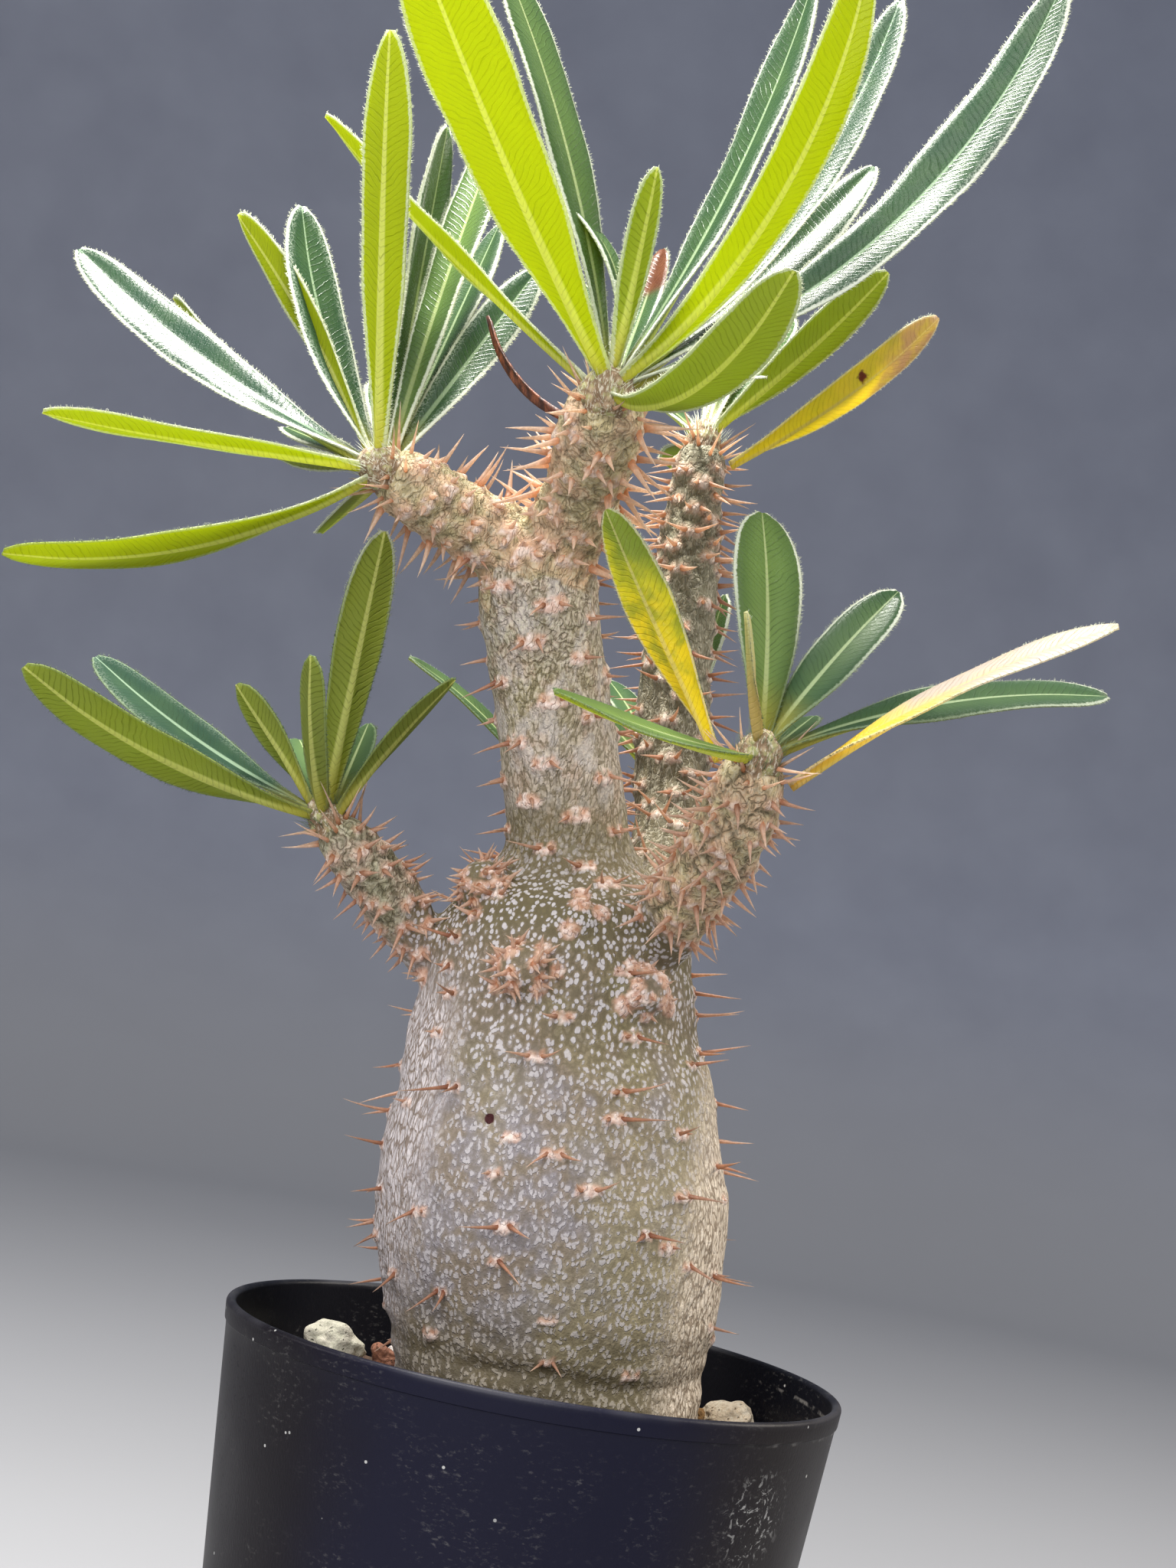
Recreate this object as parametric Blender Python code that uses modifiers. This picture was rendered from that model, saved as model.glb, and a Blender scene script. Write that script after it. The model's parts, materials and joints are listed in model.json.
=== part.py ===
"""A potted pachypodium: a swollen stem with five leafy branches, in a round tapered pot.

Lengths below are in millimetres and MM turns them into Blender's metres. +Z is up and the origin is the
centre of the pot's flat base. The plant leans towards -X; its front, the side with most open view, is -Y.
"""

import math
import random
from collections import namedtuple

import bmesh
import bpy
from mathutils import Vector

MM = 0.001
SEED = 9
GAP = 0.3  # between pieces that touch

POT_RIM_DIAMETER = 90.0
POT_HEIGHT = 95.0
POT_TAPER = math.radians(5.5)  # of each side, from upright
POT_WALL = 1.4
POT_FLOOR = 1.8
POT_SEGMENTS = 36
LIP_ROUND = 0.5
LIP_BAND = 3.0  # height of the slightly thicker band under the lip
LIP_STEP = 0.25
DRAIN_HOLES = 6
DRAIN_HOLE_RADIUS = 3.5
DRAIN_CIRCLE_RADIUS = 24.0

POT_CORNER = 1.2  # of the floor's edge, inside and out
POT_FOOT_RISE = 1.5

SOIL_TOP = 84.0
SOIL_SEGMENTS = 24
SOIL_CORNER = 1.6
STUMP_ROOM = 0.48  # between the buried stem and its hole
STUMP_REACH = 12.0  # of the hole's cutter above the soil
GRAIN_COUNT = 38
GRAIN_RADIUS = (1.6, 2.7)
GRAIN_SUNK = 0.4  # share of a grain's radius
GRAIN_PLACES = 150  # places on the whole soil's spiral, of which some are kept free
GRAIN_CLEAR = 0.8

STONE_ROUGHNESS = (-0.13, 0.1)
STONE_FLAT = 0.42  # the underside is cut flat this far below the middle, as a share of the height

BLADE_THICKNESS = 0.7
BLADE_STATION_SPACING = 10.0
BLADE_STATIONS = (5, 8)  # fewest and most on a leaf
BLADE_CHANNEL = 0.16  # how far each edge stands above the midrib, as a share of half the width
WIDEST_AT = 0.66  # share of a leaf's length
FOOT_WIDTH = 0.24  # share of the full width at the leaf's foot
TIP_WIDTH = 0.16
ROLLED_AT = 0.35  # share of a leaf's length where its roll is complete

# The green growing point of a branch: height above its seat and share of the branch's radius.
CORE_PROFILE = ((0, 0.74), (2.5, 0.7), (4.6, 0.5), (6.0, 0.2))
CORE_SIDES = 10
FOOT_LOWEST = 1.4  # height above the seat of a leaf that grows square to the branch
FOOT_LIFT = 3.6  # added for a leaf that grows in line with it
FOOT_OUT = 0.35  # share of the branch's radius

SPINE_LENGTH = (5.5, 9.0)
SPINE_FOOT_RADIUS = 0.85
SPINE_SUNK = 1.4
SPINE_SPREAD = math.radians(38)  # each of a pair leans this far to its side
SPREAD_VARIES = (0.7, 1.2)
SPINE_LIFT = (-0.05, 0.35)  # lean towards the stem's tip
SPINE_APART = 0.7  # half the distance between a pair's feet
SPINE_CLEAR_OF_LEAF = 4.0
ROUTE_STEP = 0.1
GOLDEN_ANGLE = math.radians(137.5)

# A stem's route is rows of x, y, z and radius. The first one runs from the stump in the soil,
# through the swollen stem, to the fork.
MAIN_STEM = [
    (4.0, 0, 58, 11.0), (4.0, 0, 66, 17.0), (4.0, 0, 76, 20.5), (3.8, 0, 86, 21.6),
    (2.4, 0, 93, 22.4), (1.0, 0, 103, 24.5), (-0.7, 0, 112.5, 25.7), (-2.0, 0, 119, 25.3),
    (-3.5, 0, 130, 23.5), (-4.8, 0, 136, 22.0), (-5.5, 0, 142, 20.7), (-6.2, 0, 149, 19.8),
    (-6.5, 0, 155, 18.4), (-7.0, 0, 160, 15.4), (-7.6, -0.3, 164, 11.4), (-8.4, -0.7, 168, 9.3),
    (-9.4, -1.2, 172, 8.9), (-12.4, -3, 181.5, 8.6), (-15.9, -5, 192, 8.5), (-19.3, -7.5, 203, 8.7),
    (-20.3, -9, 208.5, 7.6), (-20.3, -9.5, 212, 4.2),
]
BRANCH_TOP_LEFT = [
    (-19, -8.5, 205.5, 6.6), (-24, -9.5, 207.8, 6.0), (-31, -12, 210, 5.3), (-37.5, -14.8, 212, 5.2),
    (-41.5, -16.6, 213.4, 4.6),
]
BRANCH_TOP_CENTRE = [
    (-19, -8.5, 206, 6.8), (-17.2, -11, 210.5, 6.2), (-15.3, -17, 216, 5.5), (-14.3, -23.5, 221.5, 6.0),
    (-13.9, -28.5, 226, 5.6),
]
BRANCH_BACK = [
    (5, 7, 156, 6.4), (7.2, 13, 166, 6.0), (6.8, 20, 175, 5.8), (5.1, 24, 187.5, 5.8),
    (3.5, 26, 200, 5.6), (2.9, 27, 213, 5.2), (1.9, 28, 226, 4.6), (1.6, 28, 235, 4.0),
]
BRANCH_LOW_LEFT = [
    (-15, 0, 141, 4.6), (-23, 0, 145.5, 3.8), (-27.8, -3.5, 150.5, 3.9), (-33, -6, 155.5, 4.4),
    (-38, -7.5, 159.8, 4.3), (-41, -8, 162.4, 3.7),
]
BRANCH_LOW_RIGHT = [
    (2, -4, 149, 6.0), (6.5, -11, 156.5, 5.3), (9.8, -19.5, 163, 5.1), (12.8, -27.5, 170, 5.2),
    (14.2, -32.5, 176, 5.0), (14.5, -34.3, 179, 4.5),
]
SHOOT_BEHIND = [(-5, 9, 156, 4.4), (-7.3, 18, 163, 3.9), (-8.2, 23, 168.5, 3.3)]
SHOOT_RIGHT = [(7, 21, 170, 4.4), (6.4, 31, 174.5, 3.8), (5.2, 39, 181.5, 3.3)]
BUDS = [
    [(-15, -6, 154, 5.0), (-19.4, -9.6, 159.6, 3.6), (-20.8, -10.8, 161.6, 1.8)],
    [(-9, -12, 146.5, 4.6), (-11.6, -19.8, 148.2, 3.6), (-12.0, -21.6, 148.6, 2.0)],
    [(-5, -10, 153.5, 4.2), (-4.8, -16.9, 156.2, 3.2), (-4.8, -18.4, 157.0, 1.6)],
    [(3, -12, 146.5, 4.2), (6.6, -17.0, 148.4, 3.2), (7.4, -18.3, 148.8, 1.6)],
]

# A route, the spacing of its pairs of spines, and the shares of its length that they cover.
SPINE_ZONES = [
    (MAIN_STEM, 14.0, 0.30, 0.62),
    (MAIN_STEM, 9.0, 0.66, 0.95),
    (BRANCH_TOP_LEFT, 6.4, 0.2, 0.88),
    (BRANCH_TOP_CENTRE, 6.4, 0.2, 0.88),
    (BRANCH_LOW_LEFT, 6.4, 0.2, 0.88),
    (BRANCH_LOW_RIGHT, 6.4, 0.2, 0.88),
    (BRANCH_BACK, 8.0, 0.1, 0.95),
    (SHOOT_BEHIND, 5.6, 0.4, 0.9),
    (SHOOT_RIGHT, 5.6, 0.4, 0.9),
    *((bud, 3.6, 0.55, 1.0) for bud in BUDS),
]
STEMS = [
    MAIN_STEM, BRANCH_TOP_LEFT, BRANCH_TOP_CENTRE, BRANCH_BACK, BRANCH_LOW_LEFT,
    BRANCH_LOW_RIGHT, SHOOT_BEHIND, SHOOT_RIGHT, *BUDS,
]
MAIN_SIDES, BRANCH_SIDES, BUD_SIDES = 20, 12, 8

# A leaf grows from its azimuth (0 is +X, 90 is +Y) and rise above level, in degrees. Along its length
# the rise changes by bend and the azimuth by sweep, and roll turns the blade about its midrib.
Leaf = namedtuple("Leaf", "azimuth rise length width bend sweep roll")

LEAVES_TOP_LEFT = [
    Leaf(161, 20, 61, 9.0, 17, 0, -50),  # the glossy one, furthest left
    Leaf(141, 19, 58, 6.0, 22, 0, 40),
    Leaf(145, 50, 53, 7.0, -10, 0, 60),
    Leaf(141, 47, 48, 8.5, 24, 0, -20),
    Leaf(-110, 66, 58, 7.5, 6, 0, 0),  # the tall bright one in front
    Leaf(-165, -6, 45, 7.5, 5, 0, 10),
    Leaf(-154, -42, 55, 7.5, 38, 0, 30),  # hangs lowest
    Leaf(115, -14, 24, 6.0, 0, 0, -40),
    Leaf(150, 2, 17, 5.5, 0, 0, 20),
    Leaf(128, 16, 30, 6.0, 0, 0, -20),
    Leaf(98, 68, 60, 8.0, 8, 0, 50),
    Leaf(78, 73, 72, 7.5, -12, 0, -15),
    Leaf(80, 54, 60, 8.0, 0, 0, -30),
    Leaf(46, 60, 42, 7.0, 0, 0, 40),
    Leaf(100, 36, 44, 8.0, -18, 0, 0),
]
LEAVES_TOP_CENTRE = [
    Leaf(-129, 35, 67, 12.0, 8, 0, 20),  # the widest, towards the front
    Leaf(160, 72, 68, 9.0, -16, 0, -25),
    Leaf(152, 33, 68, 7.5, 8, 0, 25),
    Leaf(150, 88, 38, 6.0, -95, 0, 0),  # arches over
    Leaf(-85, 68, 28, 5.0, 0, 0, 30),
    Leaf(80, 48, 33, 6.0, 18, 0, -30),
    Leaf(15, 67, 67, 8.5, 17, 0, 25),
    Leaf(-51, 28, 68, 8.5, 68, 0, -5),
    Leaf(32, 49, 80, 8.5, 32, 0, 25),
    Leaf(37, 44, 61, 8.5, 14, 0, 30),
    Leaf(5, 34, 90, 10.0, 46, 0, 55),  # the longest, right and up
    Leaf(-64, -18, 48, 9.0, 72, 0, -10),
    Leaf(108, 40, 52, 8.0, -16, 0, 0),
    Leaf(60, 26, 44, 8.0, -14, 0, 10),
]
LEAVES_BACK = [
    Leaf(-18, 46, 38, 8.0, 10, 0, -35),
    Leaf(78, 54, 24, 6.0, 0, 0, -20),
    Leaf(118, 28, 40, 7.0, -14, 0, 0),
    Leaf(66, 50, 40, 8.0, -10, 0, 0),
    Leaf(96, 10, 38, 7.0, -10, 0, 0),
]
LEAVES_LOW_LEFT = [
    Leaf(-154, 3, 47, 7.5, 28, 0, 50),
    Leaf(158, 17, 46, 7.5, 15, 0, -40),
    Leaf(168, 45, 22, 5.5, 0, 0, 55),
    Leaf(-102, 36, 27, 6.0, 32, 0, -30),
    Leaf(-78, 88, 41, 7.5, -20, 0, 15),
    Leaf(82, 50, 20, 5.5, 0, 0, -20),
    Leaf(-38, 55, 28, 5.5, -13, 0, 15),
    Leaf(108, 26, 34, 7.0, -10, 0, 0),
]
LEAVES_LOW_RIGHT = [
    Leaf(110, 77, 36, 10.0, -23, 0, -5),  # broad and upright
    Leaf(-112, 46, 20, 4.0, 0, 0, -70),
    Leaf(31, 59, 31, 8.0, -10, 0, 35),
    Leaf(18, 30, 53, 8.0, -24, 0, 35),
    Leaf(64, 28, 19, 5.0, 0, 0, -10),
    Leaf(-122, -5, 50, 6.0, 8, 0, -25),  # thin, past the front of the stem
    Leaf(78, 18, 30, 7.0, -14, 0, 0),
]
LEAVES_BEHIND = [
    Leaf(-173, 48, 37, 6.0, -30, 0, -25),
    Leaf(122, 44, 30, 7.0, -14, 0, 0),
    Leaf(84, 30, 26, 6.0, -10, 0, 0),
]
LEAVES_RIGHT = [
    Leaf(-168, 36, 20, 6.0, 0, 0, -40),
    Leaf(66, 64, 36, 7.0, 10, 0, -25),
    Leaf(112, 36, 34, 7.0, -14, 0, 0),
]

# Old leaves stand on the branch just under its leafy tip: how far under, then the leaf.
Old = namedtuple("Old", "route below leaf")
YELLOW_BACK = Old(BRANCH_BACK, 0.6, Leaf(-9, 37, 41, 7.5, 20, 0, -35))
YELLOW_LOW_LEFT = Old(BRANCH_LOW_RIGHT, 0.6, Leaf(174, 54, 38, 7.5, 4, 0, 60))
YELLOW_LOW_RIGHT = Old(BRANCH_LOW_RIGHT, 0.6, Leaf(-21, 41, 48, 7.5, -19, 0, 35))
DRY_TOP = Old(BRANCH_TOP_CENTRE, 5.5, Leaf(146, 22, 23, 3.2, 50, 0, 30))

# x, y, length, width, height and turn of each loose stone
STONE_ROWS = {
    "stone_pumice": (-29.6, 20.5, 10.0, 6.4, 7.0, 40),
    "stone_red": (-21.6, 23.0, 5.0, 4.2, 3.6, 10),
    "stone_white": (-20.5, 29.0, 4.6, 3.8, 2.8, 70),
    "stone_orange": (25.8, 18.5, 5.0, 4.2, 3.8, 120),
    "stone_beige": (31.2, 22.5, 8.6, 6.0, 5.4, 150),
}

COLOURS = {  # colour and roughness
    "pot_plastic": ((0.012, 0.013, 0.017), 0.5),
    "soil_grains": ((0.09, 0.05, 0.03), 0.95),
    "bark": ((0.27, 0.23, 0.16), 0.85),
    "leaf_green": ((0.05, 0.17, 0.03), 0.4),
    "leaf_yellow": ((0.6, 0.42, 0.03), 0.5),
    "leaf_dry": ((0.16, 0.05, 0.03), 0.7),
    "pale_stone": ((0.6, 0.55, 0.44), 0.9),
    "warm_stone": ((0.32, 0.13, 0.06), 0.9),
}


def clear_scene():
    for obj in list(bpy.data.objects):
        bpy.data.objects.remove(obj)


def new_collection(name):
    collection = bpy.data.collections.new(name)
    bpy.context.scene.collection.children.link(collection)
    return collection


def material(name):
    if name in bpy.data.materials:
        return bpy.data.materials[name]
    colour, roughness = COLOURS[name]
    made = bpy.data.materials.new(name)
    made.use_nodes = True
    shader = made.node_tree.nodes["Principled BSDF"]
    shader.inputs["Base Color"].default_value = (*colour, 1)
    shader.inputs["Roughness"].default_value = roughness
    made.diffuse_color = (*colour, 1)
    return made


def new_object(name, mesh, collection):
    obj = bpy.data.objects.new(name, mesh)
    collection.objects.link(obj)
    return obj


def bmesh_object(name, shape, collection):
    mesh = bpy.data.meshes.new(name)
    shape.to_mesh(mesh)
    shape.free()
    return new_object(name, mesh, collection)


def evaluated_mesh(obj, weld=False):
    """The object's mesh with its modifiers applied, and for a curve its caps welded to its sides."""
    graph = bpy.context.evaluated_depsgraph_get()
    mesh = bpy.data.meshes.new_from_object(obj.evaluated_get(graph))
    shape = bmesh.new()
    shape.from_mesh(mesh)
    if weld:
        bmesh.ops.remove_doubles(shape, verts=shape.verts, dist=0.01 * MM)
    bmesh.ops.triangulate(shape, faces=shape.faces)
    shape.to_mesh(mesh)
    shape.free()
    return mesh


def tube(name, route, sides, collection):
    """A closed tube along rows of x, y, z and radius."""
    curve = bpy.data.curves.new(name, "CURVE")
    curve.dimensions = "3D"
    curve.bevel_depth = MM
    curve.bevel_resolution = (sides - 4) // 2
    curve.use_fill_caps = True
    spline = curve.splines.new("POLY")
    spline.points.add(len(route) - 1)
    for point, (x, y, z, radius) in zip(spline.points, route):
        point.co = (x * MM, y * MM, z * MM, 1)
        point.radius = radius
    guide = new_object(name + "_guide", curve, collection)
    mesh = evaluated_mesh(guide, weld=True)
    bpy.data.objects.remove(guide)
    return new_object(name, mesh, collection)


def turned(name, profile, collection, segments=POT_SEGMENTS):
    """A solid of revolution. The profile's rows are radius and height, down the outer side."""
    mesh = bpy.data.meshes.new(name)
    points = [(radius * MM, 0, height * MM) for radius, height in profile]
    mesh.from_pydata(points, [(i, i + 1) for i in range(len(points) - 1)], [])
    obj = new_object(name, mesh, collection)
    screw = obj.modifiers.new("Turn", "SCREW")
    screw.steps = screw.render_steps = segments
    screw.use_merge_vertices = True
    screw.merge_threshold = 0.01 * MM
    return obj


def boolean(obj, operation, other):
    """Applies one Boolean with an object or a collection, and removes what it used."""
    modifier = obj.modifiers.new(operation.title(), "BOOLEAN")
    modifier.operation = operation
    modifier.solver = "EXACT"
    if isinstance(other, bpy.types.Collection):
        modifier.operand_type = "COLLECTION"
        modifier.collection = other
        used = list(other.objects)
    else:
        modifier.object = other
        used = [other]
    mesh = evaluated_mesh(obj)
    obj.modifiers.clear()
    obj.data = mesh
    for piece in used:
        bpy.data.objects.remove(piece)
    return obj


def finished(obj, slot, smooth=True):
    obj.data.materials.clear()
    obj.data.materials.append(material(slot))
    if smooth:
        obj.data.shade_smooth()
        obj.data.set_sharp_from_angle(angle=math.radians(50))
    return obj


def pot_radius(height):
    """Of the pot's outer wall."""
    return POT_RIM_DIAMETER / 2 - (POT_HEIGHT - height) * math.tan(POT_TAPER)


def make_pot(parts, cutters):
    inner = POT_WALL / math.cos(POT_TAPER)
    band = POT_HEIGHT - LIP_BAND
    profile = [
        (0, POT_FLOOR),
        (pot_radius(POT_FLOOR) - inner - POT_CORNER, POT_FLOOR),
        (pot_radius(POT_FLOOR + POT_CORNER) - inner, POT_FLOOR + POT_CORNER),
        (pot_radius(POT_HEIGHT - LIP_ROUND) - inner, POT_HEIGHT - LIP_ROUND),
        (pot_radius(POT_HEIGHT) - inner + LIP_ROUND, POT_HEIGHT),
        (pot_radius(POT_HEIGHT) - LIP_ROUND, POT_HEIGHT),
        (pot_radius(POT_HEIGHT - LIP_ROUND), POT_HEIGHT - LIP_ROUND),
        (pot_radius(band + LIP_STEP), band + LIP_STEP),
        (pot_radius(band) - LIP_STEP, band),
        (pot_radius(POT_FOOT_RISE) - LIP_STEP, POT_FOOT_RISE),
        (pot_radius(0) - LIP_STEP - POT_CORNER, 0),
        (0, 0),
    ]
    pot = turned("pot", profile, parts)
    for i in range(DRAIN_HOLES):
        turn = math.tau * i / DRAIN_HOLES
        hole = bmesh.new()
        bmesh.ops.create_cone(
            hole, cap_ends=True, segments=16, radius1=DRAIN_HOLE_RADIUS * MM,
            radius2=DRAIN_HOLE_RADIUS * MM, depth=3 * POT_FLOOR * MM,
        )
        centre = Vector((math.cos(turn), math.sin(turn), 0)) * DRAIN_CIRCLE_RADIUS
        centre.z = POT_FLOOR / 2
        bmesh.ops.translate(hole, verts=hole.verts, vec=centre * MM)
        bmesh_object("drain_hole", hole, cutters)
    return finished(boolean(pot, "DIFFERENCE", cutters), "pot_plastic")


def stump_cutter(cutters):
    """The buried end of the stem, a little wider, which leaves the stem's hole in the soil."""
    route = [
        (x, y, z, radius + STUMP_ROOM) for x, y, z, radius in MAIN_STEM if z < SOIL_TOP + STUMP_REACH
    ]
    x, y, z, radius = route[0]
    route[0] = (x, y, z - STUMP_ROOM, radius)
    return tube("stump_cutter", route, MAIN_SIDES, cutters)


def rough_stone(name, centre, size, turn, draw, detail, collection):
    """An uneven stone whose underside is flat, with its flat at the centre's height."""
    shape = bmesh.new()
    bmesh.ops.create_icosphere(shape, subdivisions=detail, radius=0.5)
    for vert in shape.verts:
        vert.co *= 1 + draw.uniform(*STONE_ROUGHNESS)
        vert.co.z = max(vert.co.z + STONE_FLAT, 0) / (0.5 + STONE_FLAT)
    wide, deep, high = size
    cos, sin = math.cos(turn), math.sin(turn)
    for vert in shape.verts:
        x, y, z = vert.co.x * wide, vert.co.y * deep, vert.co.z * high
        vert.co = Vector((x * cos - y * sin, x * sin + y * cos, z)) * MM
    bmesh.ops.translate(shape, verts=shape.verts, vec=Vector(centre) * MM)
    return bmesh_object(name, shape, collection)


def grain_places(draw):
    """Places on the soil that stay clear of the wall, the stem and the loose stones."""
    inner = pot_radius(SOIL_TOP) - POT_WALL - GAP
    stem_x, stem_radius = MAIN_STEM[3][0], MAIN_STEM[3][3]
    made = 0
    for i in range(GRAIN_PLACES):
        radius = draw.uniform(*GRAIN_RADIUS)
        reach = math.sqrt((i + 0.5) / GRAIN_PLACES) * inner
        turn = i * GOLDEN_ANGLE
        x, y = reach * math.cos(turn), reach * math.sin(turn)
        clear_of_stones = all(
            math.hypot(x - sx, y - sy) > max(long, deep) / 2 + radius + GRAIN_CLEAR
            for sx, sy, long, deep, _, _ in STONE_ROWS.values()
        )
        clear_of_wall = reach + radius + GAP < inner
        clear_of_stem = math.hypot(x - stem_x, y) > stem_radius + radius + GRAIN_CLEAR + GAP
        if made >= GRAIN_COUNT or not (clear_of_stones and clear_of_wall and clear_of_stem):
            continue
        made += 1
        yield x, y, radius


def make_soil(parts, cutters):
    draw = random.Random(SEED)
    low = POT_FLOOR + GAP
    room = POT_WALL / math.cos(POT_TAPER) + GAP
    profile = [
        (0, SOIL_TOP),
        (pot_radius(SOIL_TOP) - room, SOIL_TOP),
        (pot_radius(low + SOIL_CORNER) - room, low + SOIL_CORNER),
        (pot_radius(low) - room - SOIL_CORNER, low),
        (0, low),
    ]
    soil = turned("soil", profile, parts, SOIL_SEGMENTS)
    for x, y, radius in grain_places(draw):
        size = [2 * radius * draw.uniform(0.85, 1.1) for _ in range(3)]
        centre = (x, y, SOIL_TOP - GRAIN_SUNK * radius)
        rough_stone("grain", centre, size, draw.uniform(0, math.tau), draw, 1, cutters)
    boolean(soil, "UNION", cutters)
    return finished(boolean(soil, "DIFFERENCE", stump_cutter(cutters)), "soil_grains", smooth=False)


def make_stones(parts):
    draw = random.Random(SEED + 1)
    for name, (x, y, wide, deep, high, turn) in STONE_ROWS.items():
        centre = (x, y, SOIL_TOP + GAP)
        stone = rough_stone(name, centre, (wide, deep, high), math.radians(turn), draw, 2, parts)
        slot = "pale_stone" if name in ("stone_pumice", "stone_beige", "stone_white") else "warm_stone"
        finished(stone, slot, smooth=False)


def along_route(route, step):
    """Yields the centre, the way along and the radius at every step along a stem's route."""
    rest = 0.0
    for first, second in zip(route, route[1:]):
        start, end = Vector(first[:3]), Vector(second[:3])
        length = (end - start).length
        while rest < length:
            share = rest / length
            yield start.lerp(end, share), (end - start) / length, first[3] + (second[3] - first[3]) * share
            rest += step
        rest -= length


def around(way, turn):
    """The unit vector at right angles to a stem's way along, at this turn about it."""
    side = way.cross(Vector((0, 1, 0))).normalized()
    return side * math.cos(turn) + side.cross(way) * math.sin(turn)


def inside_another(point, route):
    for other in STEMS:
        if other is route:
            continue
        if any((point - centre).length < radius for centre, _, radius in along_route(other, 2.0)):
            return True
    return False


def direction(azimuth, rise):
    azimuth, rise = math.radians(azimuth), math.radians(rise)
    return Vector((math.cos(rise) * math.cos(azimuth), math.cos(rise) * math.sin(azimuth), math.sin(rise)))


def tip_of(route):
    """The end of a stem, the way it points there and its radius."""
    *_, before, last = route
    way = (Vector(last[:3]) - Vector(before[:3])).normalized()
    return Vector(last[:3]), way, last[3]


def old_leaf_foot(old):
    """Where an old leaf stands off its branch, and the way it grows from there."""
    tip, way, radius = tip_of(old.route)
    before = old.route[-2]
    grows = direction(old.leaf.azimuth, old.leaf.rise)
    out = (grows - way * grows.dot(way)).normalized()
    widens = (before[3] - radius) / (tip - Vector(before[:3])).length
    return tip - way * old.below + out * (radius + widens * old.below + GAP + BLADE_THICKNESS / 2)


def spine_places(route, spacing, low, high, draw):
    """Spiral places on a stem, each with its way out and along. Low and high are shares of its length."""
    length = sum((Vector(b[:3]) - Vector(a[:3])).length for a, b in zip(route, route[1:]))
    old_feet = [old_leaf_foot(old) for old in (YELLOW_BACK, YELLOW_LOW_LEFT, YELLOW_LOW_RIGHT, DRY_TOP)]
    turn, waited = draw.uniform(0, math.tau), 0.0
    for i, (centre, way, radius) in enumerate(along_route(route, ROUTE_STEP)):
        place = i * ROUTE_STEP / length
        waited += ROUTE_STEP * math.tau * radius / spacing**2
        if waited < 1 or not low <= place <= high:
            continue
        waited = 0.0
        turn += GOLDEN_ANGLE
        out = around(way, turn)
        surface = centre + out * radius
        if inside_another(surface, route):
            continue
        if any((surface - foot).length < SPINE_CLEAR_OF_LEAF for foot in old_feet):
            continue
        yield surface, out, way


def make_spine(foot, grows, length, collection):
    shape = bmesh.new()
    bmesh.ops.create_cone(
        shape, cap_ends=True, segments=3, radius1=SPINE_FOOT_RADIUS * MM, radius2=0,
        depth=(length + SPINE_SUNK) * MM,
    )
    bmesh.ops.translate(shape, verts=shape.verts, vec=(0, 0, (length - SPINE_SUNK) / 2 * MM))
    turned_to = grows.to_track_quat("Z", "Y").to_matrix()
    bmesh.ops.rotate(shape, verts=shape.verts, cent=(0, 0, 0), matrix=turned_to)
    bmesh.ops.translate(shape, verts=shape.verts, vec=foot * MM)
    return bmesh_object("spine", shape, collection)


def make_spines(route, spacing, low, high, draw, collection):
    for surface, out, way in spine_places(route, spacing, low, high, draw):
        side = out.cross(way)
        for hand in (-1, 1):
            lean = hand * SPINE_SPREAD * draw.uniform(*SPREAD_VARIES)
            lift = draw.uniform(*SPINE_LIFT)
            grows = (out * math.cos(lean) + side * math.sin(lean) + way * lift).normalized()
            foot = surface + side * hand * SPINE_APART
            make_spine(foot, grows, draw.uniform(*SPINE_LENGTH), collection)


def make_trunk(parts, joined):
    draw = random.Random(SEED + 2)
    trunk = tube("trunk", MAIN_STEM, MAIN_SIDES, parts)
    for route in STEMS[1:]:
        tube("stem", route, BUD_SIDES if route in BUDS else BRANCH_SIDES, joined)
    for route, spacing, low, high in SPINE_ZONES:
        make_spines(route, spacing, low, high, draw, joined)
    return finished(boolean(trunk, "UNION", joined), "bark")


def leaf_width(share, width):
    """The blade's full width at this share of its length: narrow foot, widest past the middle, round tip."""
    if share < WIDEST_AT:
        swell = math.sin(math.pi / 2 * share / WIDEST_AT) ** 1.2
        return width * (FOOT_WIDTH + (1 - FOOT_WIDTH) * swell)
    past = (share - WIDEST_AT) / (1 - WIDEST_AT)
    return width * max(math.sqrt(1 - past**2.3), TIP_WIDTH)


def leaf_frames(leaf, foot, stations):
    """Yields the share of the length, the point, the side and the upper face's way, foot to tip."""
    point = Vector(foot)
    step = leaf.length / (stations - 1)
    for i in range(stations):
        share = i / (stations - 1)
        azimuth = leaf.azimuth + leaf.sweep * share
        along = direction(azimuth, leaf.rise + leaf.bend * share)
        level = direction(azimuth + 90, 0)
        face = along.cross(level)
        roll = math.radians(leaf.roll) * min(1, share / ROLLED_AT)
        yield (
            share, point.copy(), level * math.cos(roll) + face * math.sin(roll),
            face * math.cos(roll) - level * math.sin(roll),
        )
        point += along * step


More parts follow.
